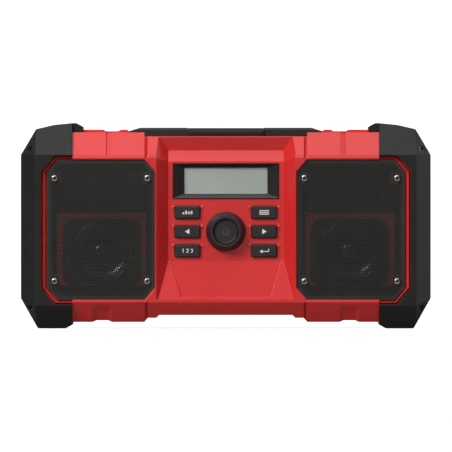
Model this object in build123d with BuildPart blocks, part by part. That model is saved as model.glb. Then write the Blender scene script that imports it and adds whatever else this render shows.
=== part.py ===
from build123d import *
import math
import os

os.makedirs("parts", exist_ok=True)

# Jobsite radio. +X is the listener's right, +Y the back, +Z up. Millimetres.
# The origin is on the ground, under the middle of the radio.

# ---------------------------------------------------------------- driving sizes

# The whole radio, over its rubber end caps
overall_width = 406.0
overall_depth = 184.0
overall_height = 203.5

# Clearances
fit_gap = 0.2  # between fixed pieces that are fitted together
running_gap = 0.05  # radial, between a shaft and its bearing
moving_gap = 0.4  # beside pieces that travel
swing_gap = 1.0  # round pieces that swing on a hinge

# Moulded body
wall = 3.2
body_clearance = 6.4  # the body hangs this far above the ground
cap_proud = 2.0  # the rubber stands this far in front of the body
cap_rise = 6.5  # and this far above it
top_slope_rise = 28.2
top_slope_run = 19.0
crown_rise = 2.7  # step up to the crown, at the outer ends of the body
crown_run = 8.0
crown_inner = 97.0
slope_foot_rise = 3.2  # blunted corner at the foot of the top slope
slope_foot_run = 1.2
bottom_slope_rise = 19.3
bottom_slope_run = 14.0
flank_half = 152.0  # half width of the red body between the caps
parting_depth = 24.0  # where the two shells meet, behind the middle

# Lowered and raised middle of the body
middle_half = 80.7
middle_drop = 6.7
middle_lift = 4.1
core_half = 66.0
core_lift = 6.9
middle_ramp = 3.6
slot_width = 3.2
slot_depth = 2.4
groove_inner = 113.0
groove_width = 5.6
groove_depth = 1.6
notch_inner = 104.0
notch_width = 17.5
notch_depth = 1.5
notch_ramp = 2.7
under_groove_inner = 112.6
under_groove_width = 19.4
under_groove_depth = 1.7
under_groove_ramp = 4.0

# Rubber end caps
foot_outer = 185.5
foot_bevel = 1.5
low_corner_rise = 28.5
high_corner_run = 15.0
high_corner_rise = 25.5
corner_drop = 31.5  # from the top of the cap to its upper corner
crown_outer = 170.0
crown_outer_drop = 1.8
flange_reach = 10.5  # the cap's lip on the top of the body
flange_bevel_run = 6.6
flange_bevel_drop = 3.5
foot_inner_bevel = 7.0
foot_inner_rise = 3.5
cap_wall = 9.0
core_inset = 6.5
edge_bevel = 14.4  # reach of the bevel between the front and the side
front_crease = 172.0
low_crease = 22.4
side_recess_depth = 2.0
side_recess_half = 52.0
side_recess_low = 52.0
side_recess_high = 158.0
side_rib_count = 5
side_rib_width = 9.0

# Opening that each cap leaves round its speaker
window_half = 183.0
window_low = 24.0
window_high = 171.2
window_corner_run = 13.8
window_corner_rise = 16.0

# Speaker grilles
grille_inner = 70.2
grille_outer = 177.3
grille_low = 28.4
grille_high = 167.1
grille_corner_run = 10.5
grille_corner_rise = 12.0
grille_sink = 2.5
grille_sheet = 1.2
recess_bevel = 1.0  # blunted rim of the recess
bead_gap = 0.4
bead_rise = 2.5
bead_slope = 1.3
grille_ledge = 5.0
baffle_sink = 10.0
grille_screw_inset = 7.6
grille_screw_rise = 18.3
grille_boss_radius = 4.6

# Small screws
small_shank = 1.5
small_head = 3.4
small_head_height = 2.0
small_screw_length = 10.0
socket_across = 2.4
socket_sink = 1.2

# Screws through the bevels of the end caps
low_screw = (193.4, 20.5)
high_screw = (194.5, 177.5)
corner_screw_sink = 3.0
corner_screw_length = 5.0

# Loudspeaker
driver_centre = 122.6
driver_height = 75.5
driver_frame_width = 78.0
driver_frame_height = 66.0
driver_corner = 12.0
driver_frame_sheet = 2.0
driver_hole_radius = 31.0
surround_outer = 31.5
surround_width = 5.5
surround_height = 2.6
surround_sheet = 0.6
surround_foot = 0.9
cone_neck = 10.5
cone_depth = 14.0
cone_sheet = 0.8
former_length = 4.6  # how far the voice coil's former reaches into the magnet
dust_cap_height = 4.5
dust_cap_tip = 2.2
basket_sheet = 1.6
basket_neck = 20.0
basket_depth = 26.0
magnet_radius = 23.0
magnet_height = 14.0

# Passive radiator above each loudspeaker
radiator_width = 80.0
radiator_high = 161.5
radiator_tall = 44.0
radiator_border = 6.0
radiator_roll = 5.0
radiator_plate = 1.6
radiator_corner = 6.0

# Sunk console between the speakers
console_mouth = 68.8  # half width at the front of the body
console_floor = 57.2  # half width at the panel
console_top_half = 67.2
panel_depth = 14.0
ledge_setback = 15.0
ledge_drop = 13.7
ledge_foot_setback = 21.0
panel_top = 165.5
panel_foot = 66.9
apron_foot = 29.0
apron_depth = 2.0
plate_top_half = 55.0
plate_foot_half = 44.5
plate_foot = 31.0
plate_depth = 5.0

# Display
bezel_half = 52.4
bezel_low = 128.8
bezel_high = 163.4
bezel_proud = 1.2
bezel_rim = 0.6
bezel_sink = 3.6
bezel_flange = 1.6
view_half = 41.2
view_low = 133.4
view_high = 159.2
lens_border = 2.5
lens_sheet = 1.2
lcd_sheet = 2.4

# Buttons
button_width = 25.2
button_height = 12.4
button_proud = 3.2
button_corner = 1.6
button_bevel = 0.9
button_column = 38.0
button_rows = (115.0, 96.0, 77.0)
button_flange = 1.4
button_flange_sheet = 1.4
button_stem = 2.0
button_travel = 0.8
ear_width = 2.6  # ears on the panel at the upper corners of the buttons
ear_tall = 4.6
ear_crest = 1.0
ear_rise = 0.6
ear_proud = 1.2

# Volume knob and power button
knob_height = 96.0
knob_radius = 19.6
knob_face_radius = 15.2
knob_depth = 11.5
knob_panel_gap = 0.8
knob_pocket = 12.9
knob_web = 2.5
knob_hub = 6.0
knob_bore = 4.1
power_radius = 12.4
power_sink = 1.2
power_sheet = 3.0
power_dish = 1.3
power_dome = 0.3
power_rim = 0.6
power_stem = 3.5
clip_reach = 1.6
clip_sheet = 0.8

# Control board behind the console
board_sheet = 1.6
control_gap = 11.0  # from the back of the panel to the board
control_half = 56.0
control_low = 62.0
control_high = 166.0
spacer_high_column = 18.0
spacer_high = 122.0
spacer_low_column = 12.0
spacer_low = 72.5
switch_side = 6.0
switch_body = 3.4
switch_plunger = 1.7
encoder_radius = 13.0
encoder_bore = 5.0

# Well for the hand, and the handle over it
well_half = 112.0
well_depth_half = 52.0
well_floor = 141.0
well_corner = 8.0
handle_top = 199.3
handle_thick = 11.4
handle_depth_half = 12.0
handle_shoulder = 85.0
handle_bend_run = 12.0
handle_bend_drop = 3.8
handle_foot_outer = 108.0
handle_leg = 12.0
handle_leg_top = 186.0
handle_foot_height = 170.0
handle_foot_sheet = 3.0
handle_foot_half = 20.0
handle_foot_inner = 92.0
handle_screw_depth = 16.0
grip_half = 37.5
grip_depth_half = 15.0
grip_seat = 1.4  # depth of the grip's seat in the top of the bar
grip_sink = 0.4
grip_belly = 6.0
grip_round = 5.0
pedestal_inner = 91.0
pedestal_depth_half = 21.0

# Screws that close the two shells
closing_columns = (62.0, 177.0)
closing_low = 27.0
closing_high = 168.0
boss_radius = 5.0
closing_shank = 2.0
closing_head = 4.0
closing_head_height = 3.0
closing_length = 30.0
closing_seat = 16.0  # behind the parting plane

# Battery bay in the back
bay_half = 46.0
bay_low = 22.0
bay_high = 126.0
bay_depth = 58.0
dock_half = 40.0
dock_margin = 8.0
dock_sheet = 4.0
rail_height = 9.0
rail_web = 4.0
rail_lip = 5.0
rail_lip_sheet = 3.0
rail_offset = 27.0
terminal_height = 10.0
terminal_wide = 34.0
terminal_tall = 16.0
blade_sheet = 0.8
blade_height = 8.0
blade_pitch = 9.0
blade_count = 3
blade_setback = 3.3

# Device compartment with its door, right of the bay
pocket_inner = 62.0
pocket_outer = 146.0
pocket_low = 74.0
pocket_high = 138.0
pocket_depth = 30.0
rebate = 5.0
door_sheet = 3.2
door_gap = 0.5
hinge_axis_drop = 9.0  # below the door's rebate
hinge_axis_sink = 4.0
hinge_knuckle = 3.2
hinge_pin_radius = 1.25
hinge_pocket_rise = 6.0
knuckle_length = 14.0
knuckle_offset = 26.0
seal_width = 2.0
seal_height = 1.2
latch_drop = 6.0
latch_radius = 4.5
latch_grip_length = 18.0
latch_grip_width = 4.0
latch_grip_sink = 2.2
latch_tongue = 13.0
latch_tongue_width = 5.0
latch_tongue_sheet = 2.0
strike_depth = 6.0
strike_wall = 1.8

# Sockets in the compartment
socket_block = (30.0, 12.0, 14.0)
aux_radius = 1.8
aux_depth = 11.0
usb_width = 12.6
usb_height = 4.8
usb_depth = 9.0
usb_tongue_sheet = 1.2
usb_tongue_short = 2.2
jack_inset = 7.5
port_inset = 20.0

# Mains inlet, left of the bay
inlet_column = 84.0
inlet_height = 42.0
inlet_width = 22.0
inlet_tall = 14.0
inlet_deep = 18.0
inlet_well = 12.0
inlet_wall = 2.4
inlet_flange = 2.0
inlet_pin_radius = 1.2
inlet_pin_pitch = 8.6
inlet_pin_short = 3.0

# Telescopic aerial, standing in a channel at the left of the back
aerial_column = 128.0
channel_half = 7.0
channel_depth = 14.0
channel_low = 24.0
aerial_sink = 7.0
aerial_pivot = 37.0
aerial_radius = 4.0
aerial_wall = 0.7
aerial_gap = 0.3
aerial_start = 48.0
aerial_end = 186.0
aerial_knuckle = 4.6
aerial_tongue = 5.0
aerial_ear = 3.0
aerial_pin_radius = 1.5
aerial_tip_radius = 3.6
aerial_tip_height = 7.0
keeper_height = 150.0
keeper_tall = 8.0

# Main board and what is on it
main_half = 54.0
main_low = 30.0
main_high = 124.0
standoff = 13.0
standoff_radius = 3.5
sink_width = 46.0
sink_tall = 30.0
sink_deep = 20.0
fin_count = 7
fin_sheet = 1.6
sink_base = 3.0
can_radius = 5.0
can_height = 14.0
can_count = 4
can_pitch = 14.0
chip_side = 14.0
chip_height = 2.0
chip_rise = 7.0
rod_radius = 5.0
rod_length = 96.0
coil_radius = 6.5
coil_length = 24.0
saddle_width = 5.0

# Mains transformer
core_wide = 48.0
core_tall = 40.0
core_deep = 18.0
core_leg = 8.0
coil_proud = 8.0
coil_wide = 30.0
transformer_column = 88.0
transformer_low = 70.0
transformer_foot = 10.0
transformer_foot_sheet = 2.0

# ---------------------------------------------------------------- worked out

half_width = overall_width / 2
half_depth = overall_depth / 2
body_front = half_depth - cap_proud
body_top = overall_height - cap_rise
shoulder_z = body_top - top_slope_rise
knee_z = body_clearance + bottom_slope_rise
slope_top_y = body_front - top_slope_run
middle_top = body_top - middle_drop
beyond = overall_width  # longer than any cut has to be
panel_y = -(body_front - panel_depth)
panel_back = panel_y + wall
board_front = panel_back + control_gap
switch_top = board_front - switch_body - switch_plunger


# ---------------------------------------------------------------- helpers


def write(piece, node):
    """Labels a finished piece and writes it as a STEP file of its own."""
    piece.part.label = node
    export_step(piece.part, f"parts/{node}.step")


def facing_front(y):
    """A sketch plane at depth y, seen from the front: its axes are X and Z."""
    return Plane.XZ.offset(-y)


def block(x, y, z, mode=Mode.ADD):
    """A box between the given low and high values on each axis."""
    with Locations(((x[0] + x[1]) / 2, (y[0] + y[1]) / 2, (z[0] + z[1]) / 2)):
        Box(x[1] - x[0], y[1] - y[0], z[1] - z[0], mode=mode)


def rod(x, z, y, radius, mode=Mode.ADD):
    """A cylinder along Y, between the two values of y."""
    with Locations(Location((x, (y[0] + y[1]) / 2, z), (90, 0, 0))):
        Cylinder(radius, y[1] - y[0], mode=mode)


def post(x, y, z, radius, mode=Mode.ADD):
    """A cylinder along Z, between the two values of z."""
    with Locations((x, y, (z[0] + z[1]) / 2)):
        Cylinder(radius, z[1] - z[0], mode=mode)


def barrel(x, y, z, radius, mode=Mode.ADD):
    """A cylinder along X, between the two values of x."""
    with Locations(Location(((x[0] + x[1]) / 2, y, z), (0, 90, 0))):
        Cylinder(radius, x[1] - x[0], mode=mode)


def polygon_part(plane, points, amount, mode=Mode.ADD, both=False, grow=0.0):
    """An outline drawn on a plane, grown if asked, and extruded."""
    with BuildSketch(plane) as outline:
        with BuildLine():
            Polyline(*points, close=True)
        make_face()
        if grow:
            offset(amount=grow, kind=Kind.INTERSECTION)
    extrude(outline.sketch, amount=amount, both=both, mode=mode)


def tapered(points, base, top, mode=Mode.ADD):
    """A loft between two sizes of an outline that faces the front, each as (y, grow)."""
    levels = []
    for y, grow in (base, top):
        with BuildSketch(facing_front(y)) as level:
            with BuildLine():
                Polyline(*points, close=True)
            make_face()
            if grow:
                offset(amount=grow, kind=Kind.INTERSECTION)
        levels.append(level.sketch)
    loft(levels, ruled=True, mode=mode)


def turned(x, z, points, mode=Mode.ADD):
    """An outline of (radius, y) points turned about the Y direction at x, z."""
    with BuildSketch(Plane((x, 0, z))) as outline:
        with BuildLine():
            Polyline(*points, close=True)
        make_face()
    revolve(outline.sketch, axis=Axis((x, 0, z), (0, 1, 0)), mode=mode)


def rounded(plane, x, z, width, height, corner, amount, mode=Mode.ADD):
    """A rectangle with round corners, centred at x, z on a plane, extruded."""
    with BuildSketch(plane) as outline:
        with Locations((x, z)):
            RectangleRounded(width, height, corner)
    extrude(outline.sketch, amount=amount, mode=mode)


def small_screw(x, z, seat_y):
    """A pan head screw along Y: the head is in front of its seat."""
    rod(x, z, (seat_y - small_head_height, seat_y), small_head)
    rod(x, z, (seat_y, seat_y + small_screw_length), small_shank)
    with BuildSketch(facing_front(seat_y - small_head_height)) as socket:
        with Locations((x, z)):
            RegularPolygon(socket_across, 6)
    extrude(socket.sketch, amount=-socket_sink, mode=Mode.SUBTRACT)


# ---------------------------------------------------------------- shared outlines

# Section of the body, as (y, z) points: a long octagon with a step up to its crown
half_section = [
    (body_front - bottom_slope_run, body_clearance),
    (body_front, knee_z),
    (body_front, shoulder_z),
    (body_front - slope_foot_run, shoulder_z + slope_foot_rise),
    (slope_top_y, body_top - crown_rise),
    (slope_top_y - crown_run, body_top - crown_rise),
    (slope_top_y - crown_run, body_top),
]
body_outline = half_section + [(-y, z) for y, z in reversed(half_section)]

# Outside of the right cap, as (x, z) points from the foot to the crown
cap_rim = [
    (foot_outer, 0.0),
    (foot_outer + foot_bevel, foot_bevel),
    (half_width, low_corner_rise + foot_bevel),
    (half_width, overall_height - corner_drop),
    (half_width - high_corner_run, overall_height - corner_drop + high_corner_rise),
    (crown_outer, overall_height - crown_outer_drop),
    (flank_half, overall_height),
]

window = [
    (flank_half - cap_wall, window_low),
    (window_half - window_corner_run, window_low),
    (window_half, window_low + window_corner_rise),
    (window_half, window_high - window_corner_rise),
    (window_half - window_corner_run, window_high),
    (flank_half - cap_wall, window_high),
]

grille_outline = [
    (grille_inner + grille_corner_run, grille_low),
    (grille_outer - grille_corner_run, grille_low),
    (grille_outer, grille_low + grille_corner_rise),
    (grille_outer, grille_high - grille_corner_rise),
    (grille_outer - grille_corner_run, grille_high),
    (grille_inner + grille_corner_run, grille_high),
    (grille_inner, grille_high - grille_corner_rise),
    (grille_inner, grille_low + grille_corner_rise),
]

grille_back = -(body_front - grille_sink - grille_sheet)
baffle_front = -(body_front - baffle_sink)
baffle_back = baffle_front + wall
grille_screws = [
    (x, z)
    for x in (grille_inner + grille_screw_inset, grille_outer - grille_screw_inset)
    for z in (grille_low + grille_screw_rise, grille_high - grille_screw_rise)
]
closing_screws = [
    (closing_columns[0], closing_low),
    (closing_columns[1], closing_low),
    (closing_columns[1], closing_high),
]


def body_section(inset):
    """The body's section on the YZ plane, drawn inwards by the inset."""
    with BuildSketch(Plane.YZ) as section:
        with BuildLine():
            Polyline(*body_outline, close=True)
        make_face()
        if inset:
            offset(amount=-inset, kind=Kind.INTERSECTION)
    return section.sketch


def end_core(grow=0.0):
    """The right end of the body, which the rubber cap is stretched over."""
    inner = flank_half - cap_wall - wall
    with BuildPart() as core:
        points = cap_rim + [(inner - cap_wall, overall_height), (inner - cap_wall, 0.0)]
        polygon_part(Plane.XZ, points, beyond, both=True, grow=grow - cap_wall)
        extrude(body_section(core_inset - grow), amount=beyond, both=True, mode=Mode.INTERSECT)
    return core.part


def window_block(grow=0.0, proud=0.0):
    """The raised blocks that fill the cap's openings, in front and behind."""
    with BuildPart() as blocks:
        deep = baffle_sink + proud
        polygon_part(facing_front(-body_front - proud), window, -deep, grow=grow)
        if not grow:
            # Beside the slopes of the body the blocks end level with its front
            for z in ((-beyond, knee_z), (shoulder_z, beyond)):
                block((0, flank_half), (-beyond, beyond), z, mode=Mode.SUBTRACT)
        mirror(about=Plane.XZ)
    return blocks.part


def console_void(grow=0.0):
    """The air in front of the sunk console. Grown, it gives the inside of its wall."""
    spread = (console_mouth - console_floor) / panel_depth
    side_grow = grow * math.hypot(1.0, spread)
    top_up = middle_top - shoulder_z
    foot_down = shoulder_z - panel_top
    tilt = (
        console_mouth - console_floor - panel_depth * (console_mouth - console_top_half) / ledge_setback
    ) / (panel_depth * top_up / ledge_setback + foot_down)
    draw_in = (console_mouth - console_top_half + tilt * top_up) / ledge_setback
    far = -body_front - panel_depth
    near = -body_front + 2 * panel_depth
    high = overall_height + panel_depth

    def lower_half(y):
        return console_mouth - spread * (y + body_front) + side_grow

    def upper_half(y, z):
        return console_mouth - draw_in * (y + body_front) + tilt * (z - shoulder_z) + side_grow

    profile = [
        (far, high),
        (-body_front + ledge_setback, high),
        (-body_front + ledge_setback, middle_top),
        (-body_front + ledge_foot_setback, middle_top - ledge_drop),
        (panel_y, panel_top),
        (panel_y, panel_foot),
        (-body_front + apron_depth, apron_foot),
        (far, apron_foot),
    ]
    with BuildPart() as void:
        low = lower_half(far), lower_half(near)
        points = [(-low[0], far), (low[0], far), (low[1], near), (-low[1], near)]
        polygon_part(Plane.XY, points, high)
        levels = []
        for z in (panel_top - panel_depth, high):
            half = upper_half(far, z), upper_half(near, z)
            with BuildSketch(Plane.XY.offset(z)) as level:
                with BuildLine():
                    Polyline(
                        (-half[0], far), (half[0], far), (half[1], near), (-half[1], near), close=True
                    )
                make_face()
            levels.append(level.sketch)
        loft(levels, ruled=True)
        polygon_part(Plane.YZ, profile, beyond, both=True, grow=grow, mode=Mode.INTERSECT)
    with BuildPart() as plate:
        points = [
            (-plate_top_half, panel_foot),
            (plate_top_half, panel_foot),
            (plate_foot_half, plate_foot),
            (-plate_foot_half, plate_foot),
        ]
        polygon_part(facing_front(far), points, -3 * panel_depth, grow=grow)
        profile = [
            (far, panel_top),
            (panel_y, panel_top),
            (panel_y, panel_foot),
            (-body_front + plate_depth, plate_foot),
            (far, plate_foot),
        ]
        polygon_part(Plane.YZ, profile, beyond, both=True, grow=grow, mode=Mode.INTERSECT)
    return void.part + plate.part


def hand_well(grow=0.0):
    """The well in the top for the hand, round the two pedestals of the handle."""
    with BuildPart() as well:
        with BuildSketch(Plane.XY.offset(well_floor - grow)):
            RectangleRounded(
                2 * (well_half + grow), 2 * (well_depth_half + grow), well_corner + grow
            )
        extrude(amount=overall_height)
        if not grow:
            for side in (-1, 1):
                x = sorted((side * pedestal_inner, side * (well_half + wall)))
                y = (-pedestal_depth_half, pedestal_depth_half)
                block(x, y, (well_floor - wall, handle_foot_height), mode=Mode.SUBTRACT)
    return well.part


back_face = body_front
bay_floor_y = back_face - bay_depth
pocket_floor_y = back_face - pocket_depth
channel_floor_y = back_face - channel_depth
hinge_z = pocket_low - rebate - hinge_axis_drop + hinge_knuckle
hinge_y = back_face - hinge_axis_sink
door_bottom = pocket_low - rebate + door_gap
door_top = pocket_high + rebate - door_gap
door_left = pocket_inner - rebate + door_gap
door_right = pocket_outer + rebate - door_gap
door_middle = (pocket_inner + pocket_outer) / 2
latch_z = pocket_high - latch_drop

def slope_y(z):
    """Depth of the cap's front at height z, on its sloping top and bottom."""
    if z > front_crease:
        return -half_depth + (z - front_crease) * top_slope_run / (top_slope_rise - crown_rise)
    if z < low_crease:
        return -half_depth + (low_crease - z) * bottom_slope_run / bottom_slope_rise
    return -half_depth


half_cap_section = [
    (-slope_y(0.0), 0.0),
    (half_depth, low_crease),
    (half_depth, front_crease),
    (-slope_y(overall_height), overall_height),
]


def facet(side_z, front_z, corner):
    """A bevel's point and direction, from its ends on the side, on the front and at a corner."""
    on_side = Vector(half_width, edge_bevel - half_depth, side_z)
    on_front = Vector(half_width - edge_bevel, -half_depth, front_z)
    at_corner = Vector(corner[0], slope_y(corner[1]), corner[1])
    facing = (on_front - on_side).cross(at_corner - on_front).normalized()
    return on_side, facing if facing.X > 0 else -facing


upright_facet = facet(cap_rim[2][1], cap_rim[2][1], (half_width - edge_bevel, front_crease))
low_facet = facet(cap_rim[2][1], low_crease, cap_rim[1])
high_facet = facet(cap_rim[3][1], front_crease, cap_rim[4])

# Screws through the bevels at the corners of the caps, as (seat, direction of the head)
corner_screws = []
for (origin, facing), (x, z) in ((low_facet, low_screw), (high_facet, high_screw)):
    y = origin.Y - ((x - origin.X) * facing.X + (z - origin.Z) * facing.Z) / facing.Y
    seat = Vector(x, y, z) - facing * corner_screw_sink
    for flip in (1, -1):
        place, direction = (Vector(v.X, flip * v.Y, v.Z) for v in (seat, facing))
        corner_screws.append((place, direction))


def screw_bores(shank):
    """What the corner screws take out of a cap and of a shell, both ends of the radio."""
    with BuildPart() as bores:
        for seat, facing in corner_screws:
            for radius, amount in ((small_head + fit_gap, edge_bevel), (shank, -corner_screw_length)):
                with BuildSketch(Plane(seat, z_dir=facing)) as bore:
                    Circle(radius)
                extrude(bore.sketch, amount=amount)
        mirror(about=Plane.YZ)
    return bores.part


# ---------------------------------------------------------------- body shells

with BuildPart() as body_shape:
    extrude(body_section(0.0), amount=flank_half, both=True)
    add(end_core())
    add(window_block())
    add(mirror(end_core(), about=Plane.YZ))
    add(mirror(window_block(), about=Plane.YZ))
    # The middle is lower on top and higher underneath than the flanks
    block((-middle_half, middle_half), (-beyond, beyond), (middle_top, beyond), mode=Mode.SUBTRACT)
    under_middle = [
        (middle_half, body_clearance),
        (middle_half - middle_ramp, body_clearance + middle_lift),
        (core_half + (core_lift - middle_lift), body_clearance + middle_lift),
        (core_half, body_clearance + core_lift),
    ]
    points = [(middle_half, -beyond)] + under_middle
    points += [(-x, z) for x, z in reversed(points)]
    polygon_part(Plane.XZ, points, beyond, both=True, mode=Mode.SUBTRACT)
    x = (-crown_inner, crown_inner)
    block(x, (-beyond, beyond), (body_top - crown_rise, beyond), mode=Mode.SUBTRACT)
    for side in (-1, 1):
        notch = [
            (side * notch_inner, body_top),
            (side * (notch_inner + notch_ramp), body_top - notch_depth),
            (side * (notch_inner + notch_width - notch_ramp), body_top - notch_depth),
            (side * (notch_inner + notch_width), body_top),
        ]
        polygon_part(Plane.XZ, notch, beyond, both=True, mode=Mode.SUBTRACT)
    add(console_void(), mode=Mode.SUBTRACT)
    add(hand_well(), mode=Mode.SUBTRACT)


def relief(stations, low, high):
    """What a groove round the body takes out, from (x, depth) stations, between two heights."""
    with BuildPart() as ring:
        block((stations[0][0], stations[-1][0]), (-beyond, beyond), (low, high))
        with BuildPart(mode=Mode.PRIVATE) as heart:
            for ends in zip(stations, stations[1:]):
                loft([body_section(deep).moved(Location((x, 0, 0))) for x, deep in ends], ruled=True)
        add(heart.part, mode=Mode.SUBTRACT)
        mirror(about=Plane.YZ)
    return ring.part


def groove(grow=0.0):
    """The ramp sunk across the top of the body. Grown, it gives the wall behind it."""
    near, far = groove_inner - grow, groove_inner + groove_width + grow
    depth = groove_depth + grow
    start = depth if grow else 0.0
    return relief([(near, start), (far, depth)], shoulder_z + wall - grow, overall_height)


with BuildPart() as trimmed_shape:
    add(body_shape.part)
    slot = [(middle_half - slot_width, slot_depth), (middle_half, 0.0)]
    add(relief(slot, shoulder_z, middle_top), mode=Mode.SUBTRACT)
    add(relief(slot, 0.0, knee_z), mode=Mode.SUBTRACT)
    add(groove(), mode=Mode.SUBTRACT)
    under_groove = [
        (under_groove_inner, 0.0),
        (under_groove_inner + under_groove_ramp, under_groove_depth),
        (under_groove_inner + under_groove_width - under_groove_ramp, under_groove_depth),
        (under_groove_inner + under_groove_width, 0.0),
    ]
    add(relief(under_groove, 0.0, knee_z - wall), mode=Mode.SUBTRACT)

with BuildPart() as cavity:
    extrude(body_section(wall), amount=flank_half, both=True)
    add(end_core(-wall))
    add(mirror(end_core(-wall), about=Plane.YZ))
    block((-beyond, beyond), (baffle_back, beyond), (-beyond, beyond), mode=Mode.INTERSECT)
    x = (-middle_half - wall, middle_half + wall)
    block(x, (-beyond, beyond), (middle_top - wall, beyond), mode=Mode.SUBTRACT)
    x = (-crown_inner - wall, crown_inner + wall)
    block(x, (-beyond, beyond), (body_top - crown_rise - wall, beyond), mode=Mode.SUBTRACT)
    add(groove(wall), mode=Mode.SUBTRACT)
    for half, lift in ((middle_half, middle_lift), (core_half, core_lift)):
        x = (-half - wall, half + wall)
        underside = body_clearance + lift + wall
        block(x, (-beyond, beyond), (-beyond, underside), mode=Mode.SUBTRACT)
    add(console_void(wall), mode=Mode.SUBTRACT)
    add(hand_well(wall), mode=Mode.SUBTRACT)
    # Battery bay, device compartment and aerial channel
    x = (-bay_half - wall, bay_half + wall)
    block(x, (bay_floor_y - wall, beyond), (bay_low - wall, bay_high + wall), mode=Mode.SUBTRACT)
    x = (pocket_inner - wall - rebate, pocket_outer + wall + rebate)
    z = (hinge_z - hinge_pocket_rise - wall, pocket_high + rebate + strike_depth + wall)
    block(x, (pocket_floor_y - wall, beyond), z, mode=Mode.SUBTRACT)
    x = (-aerial_column - channel_half - wall, -aerial_column + channel_half + wall)
    block(x, (channel_floor_y - wall, beyond), (channel_low - wall, beyond), mode=Mode.SUBTRACT)
    for side in (-1, 1):
        # Wall of the speaker box, beside the console
        x = sorted((side * (closing_columns[0] - wall / 2), side * (closing_columns[0] + wall / 2)))
        block(x, (-beyond, parting_depth), (-beyond, beyond), mode=Mode.SUBTRACT)
        for column, height in closing_screws:
            rod(side * column, height, (-beyond, beyond), boss_radius, mode=Mode.SUBTRACT)

with BuildPart() as shell:
    add(trimmed_shape.part)
    add(cavity.part, mode=Mode.SUBTRACT)
    add(screw_bores(small_shank), mode=Mode.SUBTRACT)

with BuildPart() as front_housing:
    add(shell.part)
    block((-beyond, beyond), (parting_depth, beyond), (-beyond, beyond), mode=Mode.SUBTRACT)
    for side in (-1, 1):
        outline = [(side * x, z) for x, z in grille_outline]
        # Recess for the sheet, then the deeper pocket in front of the baffle
        deep = grille_sink + grille_sheet
        polygon_part(facing_front(-body_front), outline, -deep, mode=Mode.SUBTRACT)
        rim = (-body_front, recess_bevel)
        tapered(outline, rim, (recess_bevel - body_front, 0.0), mode=Mode.SUBTRACT)
        # Beside the rubber the front steps down to its core, and a low bead runs in the step
        core_front = core_inset - body_front
        beside = (sorted((side * flank_half, side * beyond)), (-beyond, core_front), (-beyond, beyond))
        with BuildPart(mode=Mode.PRIVATE) as step:
            block(*beside)
            deep = core_front - grille_back
            polygon_part(facing_front(grille_back), outline, -deep, mode=Mode.SUBTRACT)
        add(step.part, mode=Mode.SUBTRACT)
        with BuildPart(mode=Mode.PRIVATE) as bead:
            crest = core_front - bead_rise
            around = [(side * x, z) for x, z in window]
            tapered(around, (core_front, -bead_gap), (crest, -bead_gap - bead_slope))
            base = (core_front, bead_gap)
            tapered(outline, base, (crest, bead_gap + bead_slope), mode=Mode.SUBTRACT)
            block(*beside, mode=Mode.INTERSECT)
        add(bead.part)
        with BuildPart(mode=Mode.PRIVATE) as pocket:
            deep = baffle_front - grille_back
            polygon_part(facing_front(grille_back), outline, -deep, grow=-grille_ledge)
            for x, z in grille_screws:
                rod(side * x, z, (grille_back, baffle_front), grille_boss_radius, mode=Mode.SUBTRACT)
        add(pocket.part, mode=Mode.SUBTRACT)
        for x, z in grille_screws:
            y = (grille_back, grille_back + small_screw_length - grille_sheet + fit_gap)
            rod(side * x, z, y, small_shank, mode=Mode.SUBTRACT)
        # Openings in the baffle for the loudspeaker and the passive radiator
        y = (baffle_front, baffle_back)
        rod(side * driver_centre, driver_height, y, driver_hole_radius + fit_gap, mode=Mode.SUBTRACT)
        rounded(
            facing_front(baffle_front),
            side * driver_centre,
            radiator_high - radiator_tall / 2,
            radiator_width - 2 * radiator_border,
            radiator_tall - 2 * radiator_border,
            radiator_corner,
            -wall,
            mode=Mode.SUBTRACT,
        )
        for column, height in closing_screws:
            y = (parting_depth + closing_seat - closing_length - fit_gap, parting_depth)
            rod(side * column, height, y, closing_shank, mode=Mode.SUBTRACT)
        for y in (-handle_screw_depth, handle_screw_depth):
            z = (handle_foot_height - small_screw_length, handle_foot_height)
            x = side * (handle_foot_outer - handle_leg / 2)
            post(x, y, z, small_shank, mode=Mode.SUBTRACT)
        # Holes for the buttons
        for height in button_rows:
            rounded(
                facing_front(panel_y),
                side * button_column,
                height,
                button_width + 2 * moving_gap,
                button_height + 2 * moving_gap,
                button_corner + moving_gap,
                -wall,
                mode=Mode.SUBTRACT,
            )
            # Low ears on the panel guard the upper corners of each button
            high = height + button_height / 2
            ear = [
                (panel_y, high - ear_tall),
                (panel_y - ear_proud, high - ear_crest),
                (panel_y, high + ear_rise),
            ]
            reach = button_width / 2 + moving_gap + ear_width
            for flip in (-1, 1):
                plane = Plane.YZ.offset(side * button_column + flip * reach)
                polygon_part(plane, ear, -flip * ear_width)
    rod(0, knob_height, (panel_y, panel_back), knob_hub + running_gap, mode=Mode.SUBTRACT)
    x = (-bezel_half - fit_gap, bezel_half + fit_gap)
    block(x, (panel_y, panel_back), (bezel_low - fit_gap, bezel_high + fit_gap), mode=Mode.SUBTRACT)
write(front_housing, "front_housing")

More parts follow.
